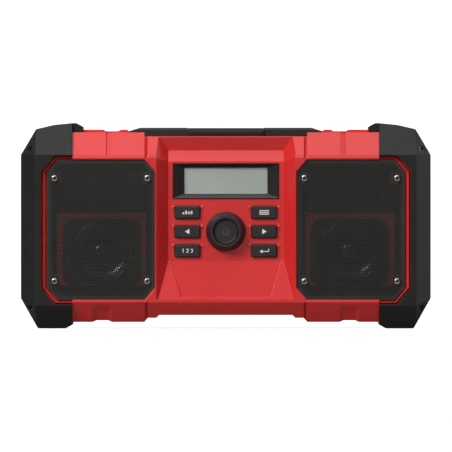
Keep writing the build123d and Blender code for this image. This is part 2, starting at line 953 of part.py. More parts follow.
with BuildPart() as rear_housing:
    add(shell.part)
    block((-beyond, beyond), (-beyond, parting_depth), (-beyond, beyond), mode=Mode.SUBTRACT)
    block((-bay_half, bay_half), (bay_floor_y, beyond), (bay_low, bay_high), mode=Mode.SUBTRACT)
    # Device compartment, the door's rebate, the hinge's pocket and the latch's strike
    y = (pocket_floor_y, beyond)
    block((pocket_inner, pocket_outer), y, (pocket_low, pocket_high), mode=Mode.SUBTRACT)
    x = (pocket_inner - rebate, pocket_outer + rebate)
    y = (back_face - door_sheet - seal_height, beyond)
    block(x, y, (pocket_low - rebate, pocket_high + rebate), mode=Mode.SUBTRACT)
    y = (hinge_y - hinge_knuckle - swing_gap, beyond)
    block(x, y, (hinge_z - hinge_pocket_rise, pocket_low - rebate), mode=Mode.SUBTRACT)
    x = (door_middle - latch_tongue - swing_gap, door_middle + latch_tongue + swing_gap)
    strike_y = back_face - door_sheet - seal_height - strike_wall
    y = (strike_y - latch_tongue_sheet - 2 * moving_gap, strike_y)
    z = (pocket_high, latch_z + latch_tongue + swing_gap)
    block(x, y, z, mode=Mode.SUBTRACT)
    # Knuckles that carry the door's pin
    for offset_x in (-knuckle_offset - knuckle_length, 0, knuckle_offset + knuckle_length):
        x = (door_middle + offset_x - knuckle_length / 2, door_middle + offset_x + knuckle_length / 2)
        barrel(x, hinge_y, hinge_z, hinge_knuckle)
        y = (hinge_y - hinge_knuckle - swing_gap - fit_gap, hinge_y)
        block(x, y, (hinge_z - hinge_knuckle, hinge_z + hinge_knuckle / 2))
    x = (pocket_inner - rebate + fit_gap, pocket_outer + rebate - fit_gap)
    barrel(x, hinge_y, hinge_z, hinge_pin_radius, mode=Mode.SUBTRACT)
    # Aerial channel, with the two ribs that keep the mast upright
    x = (-aerial_column - channel_half, -aerial_column + channel_half)
    block(x, (channel_floor_y, beyond), (channel_low, beyond), mode=Mode.SUBTRACT)
    for side in (-1, 1):
        near = aerial_radius + moving_gap
        x = sorted((-aerial_column + side * near, -aerial_column + side * channel_half))
        y = (channel_floor_y, back_face - aerial_sink + aerial_radius / 2)
        block(x, y, (keeper_height, keeper_height + keeper_tall))
    # Mains inlet
    x = (-inlet_column - inlet_width / 2 - fit_gap, -inlet_column + inlet_width / 2 + fit_gap)
    z = (inlet_height - inlet_tall / 2 - fit_gap, inlet_height + inlet_tall / 2 + fit_gap)
    block(x, (back_face - wall, beyond), z, mode=Mode.SUBTRACT)
    for side in (-1, 1):
        for column, height in closing_screws:
            head_seat = parting_depth + closing_seat
            y = (parting_depth, head_seat)
            rod(side * column, height, y, closing_shank + fit_gap, mode=Mode.SUBTRACT)
            rod(side * column, height, (head_seat, beyond), closing_head + fit_gap, mode=Mode.SUBTRACT)
write(rear_housing, "rear_housing")

with BuildPart() as housing_screws:
    head_seat = parting_depth + closing_seat
    for side in (-1, 1):
        for column, height in closing_screws:
            rod(side * column, height, (head_seat, head_seat + closing_head_height), closing_head)
            rod(side * column, height, (head_seat - closing_length, head_seat), closing_shank)
            with BuildSketch(facing_front(head_seat + closing_head_height)) as socket:
                with Locations((side * column, height)):
                    RegularPolygon(socket_across, 6)
            extrude(socket.sketch, amount=socket_sink, mode=Mode.SUBTRACT)
write(housing_screws, "housing_screws")

# ---------------------------------------------------------------- rubber end caps

with BuildPart() as right_end_cap:
    points = cap_rim + [
        (flank_half - flange_reach + flange_bevel_run, overall_height),
        (flank_half - flange_reach, overall_height - flange_bevel_drop),
        (flank_half - flange_reach, body_top - wall),
        (flank_half, body_top - wall),
        (flank_half, foot_inner_rise),
        (flank_half + foot_inner_bevel, 0.0),
    ]
    polygon_part(Plane.XZ, points, half_depth, both=True)
    section = half_cap_section + [(-y, z) for y, z in reversed(half_cap_section)]
    polygon_part(Plane.YZ, section, beyond, both=True, mode=Mode.INTERSECT)
    for origin, facing in (upright_facet, low_facet, high_facet):
        for flip in (1, -1):
            point = Vector(origin.X, flip * origin.Y, origin.Z)
            facing_out = Vector(facing.X, flip * facing.Y, facing.Z)
            split(bisect_by=Plane(point, z_dir=facing_out), keep=Keep.BOTTOM)
    # Shallow panel in the side, with moulded ribs to grip
    x = (half_width - side_recess_depth, beyond)
    z = (side_recess_low, side_recess_high)
    block(x, (-side_recess_half, side_recess_half), z, mode=Mode.SUBTRACT)
    pitch = (side_recess_high - side_recess_low) / side_rib_count
    for rib in range(side_rib_count):
        middle = side_recess_low + (rib + 0.5) * pitch
        x = (half_width - 2 * side_recess_depth, half_width)
        y = (-side_recess_half + side_rib_width, side_recess_half - side_rib_width)
        block(x, y, (middle - side_rib_width / 2, middle + side_rib_width / 2))
    # Seat on the body
    with BuildPart(mode=Mode.PRIVATE) as flank:
        extrude(body_section(-fit_gap), amount=flank_half + fit_gap, both=True)
    add(flank.part, mode=Mode.SUBTRACT)
    add(end_core(fit_gap), mode=Mode.SUBTRACT)
    add(window_block(fit_gap, 2 * cap_proud), mode=Mode.SUBTRACT)
    for side in (-1, 1):
        y = sorted((side * (slope_top_y - crown_run / 2), side * beyond))
        block((0, flank_half + fit_gap), y, (window_high, beyond), mode=Mode.SUBTRACT)
    add(screw_bores(small_shank + fit_gap), mode=Mode.SUBTRACT)
write(right_end_cap, "right_end_cap")

with BuildPart() as left_end_cap:
    add(mirror(right_end_cap.part, about=Plane.YZ))
write(left_end_cap, "left_end_cap")

with BuildPart() as end_cap_screws:
    for seat, facing in corner_screws:
        plane = Plane(seat, z_dir=facing)
        for radius, amount in ((small_head, small_head_height), (small_shank, -corner_screw_length)):
            with BuildSketch(plane) as disc:
                Circle(radius)
            extrude(disc.sketch, amount=amount)
        with BuildSketch(plane.offset(small_head_height)) as socket:
            RegularPolygon(socket_across, 6)
        extrude(socket.sketch, amount=-socket_sink, mode=Mode.SUBTRACT)
    mirror(about=Plane.YZ)
write(end_cap_screws, "end_cap_screws")

# ---------------------------------------------------------------- speakers

frame_front = baffle_front - driver_frame_sheet
surround_inner = surround_outer - surround_width
cone_front = baffle_front
neck_y = cone_front + cone_depth
basket_back = baffle_front + basket_depth

for name, side in (("left", -1), ("right", 1)):
    x = side * driver_centre
    outline = [(side * px, pz) for px, pz in grille_outline]

    # Perforated sheet, held by four screws
    with BuildPart() as grille:
        polygon_part(facing_front(grille_back - grille_sheet), outline, -grille_sheet, grow=-fit_gap)
        for px, pz in grille_screws:
            y = (grille_back - grille_sheet, grille_back)
            rod(side * px, pz, y, small_shank + fit_gap, mode=Mode.SUBTRACT)
    write(grille, f"{name}_grille")

    # Pressed steel basket: a square flange on the baffle and a can behind it
    with BuildPart() as basket:
        rounded(
            facing_front(frame_front),
            x,
            driver_height,
            driver_frame_width,
            driver_frame_height,
            driver_corner,
            -driver_frame_sheet,
        )
        turned(
            x,
            driver_height,
            [
                (driver_hole_radius - fit_gap, frame_front),
                (driver_hole_radius, baffle_front),
                (driver_hole_radius, baffle_back),
                (basket_neck, basket_back),
                (0, basket_back),
                (0, frame_front),
            ],
        )
        turned(
            x,
            driver_height,
            [
                (driver_hole_radius - basket_sheet, frame_front),
                (driver_hole_radius - basket_sheet, baffle_back),
                (basket_neck - basket_sheet, basket_back - basket_sheet),
                (cone_neck + basket_sheet, basket_back - basket_sheet),
                (cone_neck + basket_sheet, basket_back),
                (0, basket_back),
                (0, frame_front),
            ],
            mode=Mode.SUBTRACT,
        )
    write(basket, f"{name}_driver_basket")

    # Rubber roll between the basket's rim and the cone
    with BuildPart() as surround:
        seat = frame_front - surround_sheet
        middle = surround_outer - surround_width / 2
        turned(
            x,
            driver_height,
            [
                (surround_outer + surround_foot, seat),
                (surround_outer, seat),
                (middle + surround_width / 4, seat - surround_height),
                (middle - surround_width / 4, seat - surround_height),
                (surround_inner, seat),
                (surround_inner - 2 * surround_sheet, seat),
                (surround_inner - 2 * surround_sheet, frame_front),
                (surround_inner + surround_sheet / 2, frame_front),
                (middle - surround_width / 4 + surround_sheet / 2, frame_front - surround_height),
                (middle + surround_width / 4 - surround_sheet / 2, frame_front - surround_height),
                (surround_outer - surround_sheet / 2, frame_front),
                (surround_outer + surround_foot, frame_front),
            ],
        )
    write(surround, f"{name}_driver_surround")

    # Paper cone with its dust cap and the voice coil's former
    with BuildPart() as cone:
        rim = surround_inner - surround_sheet / 2
        turned(
            x,
            driver_height,
            [
                (rim, frame_front),
                (rim, frame_front + cone_sheet),
                (cone_neck, neck_y),
                (cone_neck, basket_back + former_length),
                (cone_neck - cone_sheet, basket_back + former_length),
                (cone_neck - cone_sheet, neck_y - dust_cap_height / 2),
                (cone_neck / 2, neck_y - dust_cap_height - cone_sheet),
                (0, neck_y - dust_cap_height - dust_cap_tip),
                (0, neck_y - dust_cap_height - dust_cap_tip - cone_sheet),
                (cone_neck / 2, neck_y - dust_cap_height - 2 * cone_sheet),
                (cone_neck, neck_y - dust_cap_height / 2 - cone_sheet),
                (rim - 2 * cone_sheet, frame_front),
            ],
        )
    write(cone, f"{name}_driver_cone")

    # Ring magnet between its front plate and the yoke
    with BuildPart() as magnet:
        gap_radius = cone_neck + moving_gap
        pole_radius = cone_neck - cone_sheet - moving_gap
        rod(x, driver_height, (basket_back, basket_back + magnet_height), magnet_radius)
        y = (basket_back, basket_back + magnet_height - wall)
        rod(x, driver_height, y, gap_radius, mode=Mode.SUBTRACT)
        rod(x, driver_height, y, pole_radius)
    write(magnet, f"{name}_driver_magnet")

    # Passive radiator: a frame, and a stiff plate on a rubber roll
    radiator_middle = radiator_high - radiator_tall / 2
    with BuildPart() as radiator_frame:
        rounded(
            facing_front(frame_front),
            x,
            radiator_middle,
            radiator_width,
            radiator_tall,
            radiator_corner,
            -driver_frame_sheet,
        )
        rounded(
            facing_front(frame_front),
            x,
            radiator_middle,
            radiator_width - 2 * radiator_border,
            radiator_tall - 2 * radiator_border,
            radiator_corner,
            -driver_frame_sheet,
            mode=Mode.SUBTRACT,
        )
    write(radiator_frame, f"{name}_radiator_frame")

    with BuildPart() as radiator:
        inner_width = radiator_width - 2 * radiator_border - 2 * fit_gap
        inner_tall = radiator_tall - 2 * radiator_border - 2 * fit_gap
        plane = facing_front(frame_front)
        rounded(plane, x, radiator_middle, inner_width, inner_tall, radiator_corner, -radiator_plate)
        plate = inner_width - 2 * radiator_roll, inner_tall - 2 * radiator_roll
        rounded(plane, x, radiator_middle, *plate, radiator_corner, radiator_plate)
    write(radiator, f"{name}_passive_radiator")

with BuildPart() as grille_screw_set:
    for side in (-1, 1):
        for px, pz in grille_screws:
            small_screw(side * px, pz, grille_back - grille_sheet)
write(grille_screw_set, "grille_screws")

# ---------------------------------------------------------------- console

bezel_front = panel_y - bezel_proud
view_y = bezel_front + bezel_sink

with BuildPart() as display_bezel:
    x = (-bezel_half, bezel_half)
    block(x, (bezel_front, panel_back + fit_gap), (bezel_low, bezel_high))
    x = (-bezel_half - bezel_flange, bezel_half + bezel_flange)
    y = (panel_back + fit_gap, panel_back + fit_gap + bezel_flange)
    block(x, y, (bezel_low - bezel_flange, bezel_high + bezel_flange))
    # The window narrows from the rim to the glass
    rim = bezel_rim
    levels = []
    for y, half, low, high in (
        (bezel_front, bezel_half - rim, bezel_low + rim, bezel_high - rim),
        (view_y, view_half, view_low, view_high),
    ):
        with BuildSketch(facing_front(y)) as level:
            with Locations((0, (low + high) / 2)):
                Rectangle(2 * half, high - low)
        levels.append(level.sketch)
    loft(levels, mode=Mode.SUBTRACT)
    x = (-view_half - lens_border - fit_gap, view_half + lens_border + fit_gap)
    z = (view_low - lens_border - fit_gap, view_high + lens_border + fit_gap)
    block(x, (view_y, beyond), z, mode=Mode.SUBTRACT)
write(display_bezel, "display_bezel")

with BuildPart() as display_lens:
    x = (-view_half - lens_border, view_half + lens_border)
    z = (view_low - lens_border, view_high + lens_border)
    block(x, (view_y, view_y + lens_sheet), z)
write(display_lens, "display_lens")

with BuildPart() as lcd_panel:
    y = (view_y + lens_sheet + fit_gap, board_front)
    block(x, (y[0], y[0] + lcd_sheet), z)
    # Its plastic carrier stands on the control board
    inset = 2 * lens_border
    block((x[0] + inset, x[1] - inset), (y[0] + lcd_sheet, y[1]), (z[0] + inset, z[1] - inset))
write(lcd_panel, "lcd_panel")

with BuildPart() as control_board:
    x = (-control_half, control_half)
    block(x, (board_front, board_front + board_sheet), (control_low, control_high))
    # Spacers up to the back of the panel, above and below the knob
    for side in (-1, 1):
        for px, pz in ((spacer_high_column, spacer_high), (spacer_low_column, spacer_low)):
            rod(side * px, pz, (panel_back, board_front), standoff_radius)
write(control_board, "control_board")

with BuildPart() as tact_switches:
    places = [(side * button_column, height) for side in (-1, 1) for height in button_rows]
    for px, pz in places + [(0, knob_height)]:
        x = (px - switch_side / 2, px + switch_side / 2)
        z = (pz - switch_side / 2, pz + switch_side / 2)
        block(x, (board_front - switch_body, board_front), z)
        rod(px, pz, (switch_top, board_front - switch_body), switch_plunger)
write(tact_switches, "tact_switches")

button_names = (("mode", "left", "preset"), ("menu", "right", "enter"))
for side, column in zip((-1, 1), button_names):
    for name, height in zip(column, button_rows):
        x = side * button_column
        with BuildPart() as button:
            front = panel_y - button_proud
            flange_y = panel_back + fit_gap + moving_gap / 2
            rounded(
                facing_front(front),
                x,
                height,
                button_width,
                button_height,
                button_corner,
                front - flange_y,
            )
            chamfer(button.faces().sort_by(Axis.Y)[0].edges(), button_bevel)
            rounded(
                facing_front(flange_y),
                x,
                height,
                button_width + 2 * button_flange,
                button_height + 2 * button_flange,
                button_corner,
                -button_flange_sheet,
            )
            stem_end = switch_top - button_travel - moving_gap
            rod(x, height, (flange_y, stem_end), button_stem)
        write(button, f"{name}_button")

# Ring knob: a skirt round the power button, on a hollow hub through the panel
knob_back = panel_y - knob_panel_gap
knob_front = knob_back - knob_depth
encoder_front = panel_back + clip_sheet + fit_gap + 2 * moving_gap + clip_sheet
hub_end = encoder_front - moving_gap
clip_y = panel_back + moving_gap

with BuildPart() as volume_knob:
    web_front = knob_back - knob_web
    turned(
        0,
        knob_height,
        [
            (knob_bore, hub_end),
            (knob_hub, hub_end),
            (knob_hub, clip_y + clip_sheet),
            (knob_hub - clip_sheet, clip_y + clip_sheet),
            (knob_hub - clip_sheet, clip_y),
            (knob_hub, clip_y),
            (knob_hub, knob_back),
            (knob_radius, knob_back),
            (knob_radius, knob_back - knob_web),
            (knob_face_radius, knob_front),
            (knob_pocket, knob_front),
            (knob_pocket, web_front),
            (knob_bore, web_front),
        ],
    )
write(volume_knob, "volume_knob")

with BuildPart() as knob_clip:
    y = (clip_y, clip_y + clip_sheet)
    rod(0, knob_height, y, knob_hub + clip_reach)
    rod(0, knob_height, y, knob_hub - clip_sheet, mode=Mode.SUBTRACT)
    x = (0, knob_hub + 2 * clip_reach)
    block(x, y, (knob_height - clip_reach, knob_height + clip_reach), mode=Mode.SUBTRACT)
write(knob_clip, "knob_clip")

with BuildPart() as power_button:
    face_y = knob_front + power_sink
    turned(
        0,
        knob_height,
        [
            (0, face_y + power_dish - power_dome),
            (power_radius - power_rim - power_dish, face_y + power_dish),
            (power_radius - power_rim, face_y),
            (power_radius, face_y + power_rim),
            (power_radius, face_y + power_sheet),
            (power_stem, face_y + power_sheet),
            (power_stem, switch_top - button_travel - moving_gap),
            (0, switch_top - button_travel - moving_gap),
        ],
    )
write(power_button, "power_button")

with BuildPart() as volume_encoder:
    rod(0, knob_height, (encoder_front, board_front), encoder_radius)
    rod(0, knob_height, (encoder_front, board_front), encoder_bore, mode=Mode.SUBTRACT)
write(volume_encoder, "volume_encoder")

# ---------------------------------------------------------------- handle

with BuildPart() as handle_bar:
    bend = handle_shoulder + handle_bend_run
    under = handle_top - handle_thick
    right_side = [
        (handle_shoulder, handle_top),
        (bend, handle_top - handle_bend_drop),
        (handle_foot_outer, handle_leg_top),
        (handle_foot_outer, handle_foot_height),
        (handle_foot_outer - handle_leg, handle_foot_height),
        (handle_foot_outer - handle_leg, handle_leg_top - handle_bend_drop),
        (handle_shoulder - handle_bend_drop, under),
    ]
    points = right_side + [(-x, z) for x, z in reversed(right_side)]
    polygon_part(Plane.XZ, points, handle_depth_half, both=True)
    lengthwise = handle_bar.edges().filter_by(Axis.X)
    fillet(lengthwise, (handle_thick - wall) / 3)
    x = (-grip_half - fit_gap, grip_half + fit_gap)
    block(x, (-beyond, beyond), (handle_top - grip_seat, beyond), mode=Mode.SUBTRACT)
    for side in (-1, 1):
        x = sorted((side * handle_foot_inner, side * (well_half - fit_gap)))
        y = (-handle_foot_half, handle_foot_half)
        block(x, y, (handle_foot_height, handle_foot_height + handle_foot_sheet))
        for y in (-handle_screw_depth, handle_screw_depth):
            x = side * (handle_foot_outer - handle_leg / 2)
            z = (handle_foot_height, handle_foot_height + handle_foot_sheet)
            post(x, y, z, small_shank + fit_gap, mode=Mode.SUBTRACT)
write(handle_bar, "handle_bar")

with BuildPart() as handle_grip:
    high = handle_top - grip_sink
    low = handle_top - handle_thick - grip_belly
    with BuildSketch(Plane.YZ.offset(-grip_half)) as outline:
        with Locations((0, (high + low) / 2)):
            RectangleRounded(2 * grip_depth_half, high - low, grip_round)
    extrude(outline.sketch, amount=2 * grip_half)
    y = (-handle_depth_half - running_gap, handle_depth_half + running_gap)
    z = (handle_top - handle_thick - running_gap, handle_top - grip_seat + running_gap)
    block((-beyond, beyond), y, z, mode=Mode.SUBTRACT)
write(handle_grip, "handle_grip")

with BuildPart() as handle_screws:
    for side in (-1, 1):
        for y in (-handle_screw_depth, handle_screw_depth):
            x = side * (handle_foot_outer - handle_leg / 2)
            seat = handle_foot_height + handle_foot_sheet
            post(x, y, (seat, seat + small_head_height), small_head)
            post(x, y, (seat - small_screw_length, seat), small_shank)
            with BuildSketch(Plane.XY.offset(seat + small_head_height)) as socket:
                with Locations((x, y)):
                    RegularPolygon(socket_across, 6)
            extrude(socket.sketch, amount=-socket_sink, mode=Mode.SUBTRACT)
write(handle_screws, "handle_screws")

# ---------------------------------------------------------------- battery bay

with BuildPart() as battery_dock:
    low = bay_low + dock_margin
    high = bay_high - dock_margin
    block((-dock_half, dock_half), (bay_floor_y, bay_floor_y + dock_sheet), (low, high))
    for side in (-1, 1):
        y = bay_floor_y + dock_sheet
        x = sorted((side * rail_offset, side * (rail_offset + rail_web)))
        block(x, (y, y + rail_height), (low, high))
        x = sorted((side * rail_offset, side * (rail_offset + rail_web + rail_lip)))
        block(x, (y + rail_height - rail_lip_sheet, y + rail_height), (low, high))
write(battery_dock, "battery_dock")

with BuildPart() as battery_terminals:
    y = bay_floor_y + dock_sheet
    z = (low, low + terminal_tall)
    block((-terminal_wide / 2, terminal_wide / 2), (y, y + terminal_height), z)
    for blade in range(blade_count):
        px = (blade - (blade_count - 1) / 2) * blade_pitch
        x = (px - blade_sheet / 2, px + blade_sheet / 2)
        z = (low + terminal_tall, low + terminal_tall + blade_height)
        block(x, (y + blade_setback, y + terminal_height - blade_setback), z)
write(battery_terminals, "battery_terminals")

# ---------------------------------------------------------------- device door

door_inner_y = back_face - door_sheet
with BuildPart() as device_door:
    block((door_left, door_right), (door_inner_y, back_face), (door_bottom, door_top))
    for offset_x in (-knuckle_offset, knuckle_offset):
        offset_x = offset_x / 2 + math.copysign(knuckle_length / 2, offset_x)
        half = (knuckle_offset - 2 * moving_gap) / 2
        x = (door_middle + offset_x - half, door_middle + offset_x + half)
        barrel(x, hinge_y, hinge_z, hinge_knuckle)
        y = (hinge_y, back_face)
        block(x, y, (hinge_z, door_bottom))
    x = (door_left, door_right)
    barrel(x, hinge_y, hinge_z, hinge_pin_radius + running_gap, mode=Mode.SUBTRACT)
    rod(door_middle, latch_z, (door_inner_y, back_face), latch_radius + running_gap, mode=Mode.SUBTRACT)
    # Sunk seat round the latch, so that its grip stays behind the body's face
    seat = latch_grip_length / 2 + moving_gap
    y = (back_face - latch_grip_sink, back_face)
    rod(door_middle, latch_z, y, seat, mode=Mode.SUBTRACT)
write(device_door, "device_door")

with BuildPart() as door_hinge_pin:
    x = (pocket_inner - rebate + fit_gap, pocket_outer + rebate - fit_gap)
    barrel(x, hinge_y, hinge_z, hinge_pin_radius)
write(door_hinge_pin, "door_hinge_pin")

with BuildPart() as door_latch:
    tongue_y = strike_y - latch_tongue_sheet - moving_gap
    rod(door_middle, latch_z, (tongue_y, back_face - latch_grip_sink / 2), latch_radius)
    y = (back_face - latch_grip_sink + running_gap, back_face)
    x = (door_middle - latch_grip_width / 2, door_middle + latch_grip_width / 2)
    z = (latch_z - latch_grip_length / 2, latch_z + latch_grip_length / 2)
    block(x, y, z)
    x = (door_middle, door_middle + latch_tongue)
    z = (latch_z - latch_tongue_width / 2, latch_z + latch_tongue_width / 2)
    block(x, (tongue_y, tongue_y + latch_tongue_sheet), z)
write(door_latch, "door_latch")

with BuildPart() as door_seal:
    y = (back_face - door_sheet - seal_height, back_face - door_sheet - fit_gap)
    x = (pocket_inner - seal_width - fit_gap, pocket_outer + seal_width + fit_gap)
    z = (pocket_low - seal_width - fit_gap, pocket_high + seal_width + fit_gap)
    block(x, y, z)
    x = (pocket_inner - fit_gap, pocket_outer + fit_gap)
    block(x, y, (pocket_low - fit_gap, pocket_high + fit_gap), mode=Mode.SUBTRACT)
write(door_seal, "door_seal")

with BuildPart() as device_sockets:
    x = (pocket_outer - socket_block[0], pocket_outer)
    z = (pocket_low, pocket_low + socket_block[2])
    block(x, (pocket_floor_y, pocket_floor_y + socket_block[1]), z)
    # Aux jack and USB port, both facing into the compartment
    px = pocket_outer - socket_block[0]
    middle_y = pocket_floor_y + socket_block[1] / 2
    jack_x = px + jack_inset
    post(jack_x, middle_y, (z[1] - aux_depth, z[1]), aux_radius, mode=Mode.SUBTRACT)
    port_x = px + port_inset
    x = (port_x - usb_width / 2, port_x + usb_width / 2)
    y = (middle_y - usb_height / 2, middle_y + usb_height / 2)
    block(x, y, (z[1] - usb_depth, z[1]), mode=Mode.SUBTRACT)
    block(
        (x[0] + fit_gap, x[1] - fit_gap),
        (middle_y - usb_tongue_sheet, middle_y),
        (z[1] - usb_depth, z[1] - usb_tongue_short),
    )
write(device_sockets, "device_sockets")

# ---------------------------------------------------------------- mains inlet

with BuildPart() as mains_inlet:
    z = (inlet_height - inlet_tall / 2, inlet_height + inlet_tall / 2)
    x = (-inlet_column - inlet_width / 2, -inlet_column + inlet_width / 2)
    block(x, (back_face - inlet_deep, back_face), z)
    with BuildSketch(facing_front(back_face)) as mouth:
        with Locations((-inlet_column, inlet_height)):
            SlotOverall(inlet_width - 2 * inlet_wall, inlet_tall - 2 * inlet_wall)
    extrude(mouth.sketch, amount=inlet_well, mode=Mode.SUBTRACT)
    # Flange behind the wall of the body
    x = (x[0] - inlet_flange, x[1] + inlet_flange)
    z = (z[0] - inlet_flange, z[1] + inlet_flange)
    y = (back_face - wall - fit_gap - inlet_flange, back_face - wall - fit_gap)
    with BuildPart(mode=Mode.PRIVATE) as flange:
        block(x, y, z)
        block(
            (x[0] + inlet_flange, x[1] - inlet_flange),
            y,
            (z[0] + inlet_flange, z[1] - inlet_flange),
            mode=Mode.SUBTRACT,
        )
    add(flange.part)
    for side in (-1, 1):
        px = -inlet_column + side * inlet_pin_pitch / 2
        y = (back_face - inlet_well, back_face - inlet_pin_short)
        rod(px, inlet_height, y, inlet_pin_radius)
write(mains_inlet, "mains_inlet")

# ---------------------------------------------------------------- telescopic aerial

mast_y = back_face - aerial_sink
sleeve = aerial_radius - aerial_wall
middle_radius = sleeve - aerial_gap
middle_bore = middle_radius - aerial_wall
tip_rod = middle_bore - aerial_gap

with BuildPart() as aerial_base:
    # Clevis on the floor of the channel
    for side in (-1, 1):
        near = aerial_tongue / 2 + moving_gap / 2
        ear = sorted((-aerial_column + side * near, -aerial_column + side * (near + aerial_ear)))
        barrel(ear, mast_y, aerial_pivot, aerial_knuckle)
        z = (aerial_pivot - aerial_knuckle, aerial_pivot + aerial_knuckle)
        block(ear, (channel_floor_y, mast_y), z)
    x = (-aerial_column - near - aerial_ear, -aerial_column + near + aerial_ear)
    y = (channel_floor_y, mast_y - aerial_knuckle - moving_gap)
    block(x, y, (aerial_pivot - aerial_knuckle, aerial_pivot + aerial_knuckle))
    barrel(x, mast_y, aerial_pivot, aerial_pin_radius, mode=Mode.SUBTRACT)
write(aerial_base, "aerial_base")

with BuildPart() as aerial_pin:
    barrel(x, mast_y, aerial_pivot, aerial_pin_radius)
write(aerial_pin, "aerial_pin")

with BuildPart() as aerial_mast:
    tongue = (-aerial_column - aerial_tongue / 2, -aerial_column + aerial_tongue / 2)
    barrel(tongue, mast_y, aerial_pivot, aerial_knuckle)
    y = (mast_y - aerial_radius / 2, mast_y + aerial_radius / 2)
    block(tongue, y, (aerial_pivot, aerial_start))
    barrel(tongue, mast_y, aerial_pivot, aerial_pin_radius + running_gap, mode=Mode.SUBTRACT)
    post(-aerial_column, mast_y, (aerial_start - wall, aerial_end), aerial_radius)
    post(-aerial_column, mast_y, (aerial_start, aerial_end), sleeve, mode=Mode.SUBTRACT)
write(aerial_mast, "aerial_mast")

with BuildPart() as aerial_middle:
    start = aerial_start + aerial_gap
    post(-aerial_column, mast_y, (start, aerial_end), middle_radius)
    post(-aerial_column, mast_y, (start + wall, aerial_end), middle_bore, mode=Mode.SUBTRACT)
write(aerial_middle, "aerial_middle")

with BuildPart() as aerial_tip:
    start = aerial_start + 2 * aerial_gap + wall
    post(-aerial_column, mast_y, (start, aerial_end + aerial_gap), tip_rod)
    z = (aerial_end + aerial_gap, aerial_end + aerial_gap + aerial_tip_height)
    post(-aerial_column, mast_y, z, aerial_tip_radius)
    fillet(aerial_tip.edges().group_by(Axis.Z)[-1], aerial_tip_radius / 2)
write(aerial_tip, "aerial_tip")

# ---------------------------------------------------------------- electronics

main_back = bay_floor_y - wall - standoff
main_front = main_back - board_sheet
with BuildPart() as main_board:
    block((-main_half, main_half), (main_front, main_back), (main_low, main_high))
    for px in (-bay_half + standoff_radius, bay_half - standoff_radius):
        for pz in (main_low + 2 * standoff_radius, main_high - 2 * standoff_radius):
            rod(px, pz, (main_back, bay_floor_y - wall), standoff_radius)
write(main_board, "main_board")

with BuildPart() as heat_sink:
    low = main_low + 2 * standoff_radius
    x = (-sink_width / 2, sink_width / 2)
    z = (low, low + sink_tall)
    block(x, (main_front - sink_base, main_front), z)
    fin_pitch = (sink_width - fin_sheet) / (fin_count - 1)
    for fin in range(fin_count):
        px = -sink_width / 2 + fin * fin_pitch
        block((px, px + fin_sheet), (main_front - sink_deep, main_front - sink_base), z)
write(heat_sink, "heat_sink")

with BuildPart() as board_components:
    high = (main_low + main_high) / 2 + chip_side
    for can in range(can_count):
        px = (can - (can_count - 1) / 2) * can_pitch
        rod(px, high, (main_front - can_height, main_front), can_radius)
    for side in (-1, 1):
        px = side * (main_half - chip_side)
        x = (px - chip_side / 2, px + chip_side / 2)
        y = (main_front - chip_height, main_front)
        block(x, y, (main_low + chip_rise, main_low + chip_rise + chip_side))
write(board_components, "board_components")

# Ferrite rod with its winding, in two saddles on the front of the main board
rod_y = main_front - coil_radius - fit_gap
rod_z = main_high - coil_radius
with BuildPart() as ferrite_rod:
    barrel((-rod_length / 2, rod_length / 2), rod_y, rod_z, rod_radius)
write(ferrite_rod, "ferrite_rod")

with BuildPart() as ferrite_coil:
    barrel((-coil_length / 2, coil_length / 2), rod_y, rod_z, coil_radius)
    barrel((-coil_length, coil_length), rod_y, rod_z, rod_radius, mode=Mode.SUBTRACT)
    for side in (-1, 1):
        px = side * (rod_length / 2 - 2 * saddle_width)
        x = (px - saddle_width / 2, px + saddle_width / 2)
        barrel(x, rod_y, rod_z, coil_radius)
        block(x, (rod_y, main_front), (rod_z - coil_radius, rod_z + coil_radius))
        barrel(x, rod_y, rod_z, rod_radius, mode=Mode.SUBTRACT)
write(ferrite_coil, "ferrite_coil")

core_back = back_face - wall
with BuildPart() as transformer_core:
    x = (-transformer_column - core_wide / 2, -transformer_column + core_wide / 2)
    z = (transformer_low, transformer_low + core_tall)
    y = (core_back - coil_proud - core_deep, core_back - coil_proud)
    block(x, y, z)
    for side in (-1, 1):
        near = -transformer_column + side * core_leg
        hole = sorted((near, near + side * core_leg))
        block(hole, y, (z[0] + core_leg, z[1] - core_leg), mode=Mode.SUBTRACT)
        # Feet that hold the core to the back wall
        outer = -transformer_column + side * core_wide / 2
        foot = sorted((outer, outer - side * transformer_foot))
        block(foot, (core_back - coil_proud, core_back), (z[0], z[0] + transformer_foot_sheet))
        block(foot, (core_back - coil_proud, core_back), (z[1] - transformer_foot_sheet, z[1]))
write(transformer_core, "transformer_core")

with BuildPart() as transformer_coil:
    x = (-transformer_column - coil_wide / 2, -transformer_column + coil_wide / 2)
    z = (transformer_low + core_leg + fit_gap, transformer_low + core_tall - core_leg - fit_gap)
    y = (core_back - 2 * coil_proud - core_deep + fit_gap, core_back - fit_gap)
    block(x, y, z)
    clear = (core_back - coil_proud - core_deep - fit_gap, core_back - coil_proud + fit_gap)
    x = (-transformer_column - core_leg - fit_gap, -transformer_column + core_leg + fit_gap)
    block(x, clear, z, mode=Mode.SUBTRACT)
write(transformer_coil, "transformer_coil")
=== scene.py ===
import math

import bpy
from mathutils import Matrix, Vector, geometry


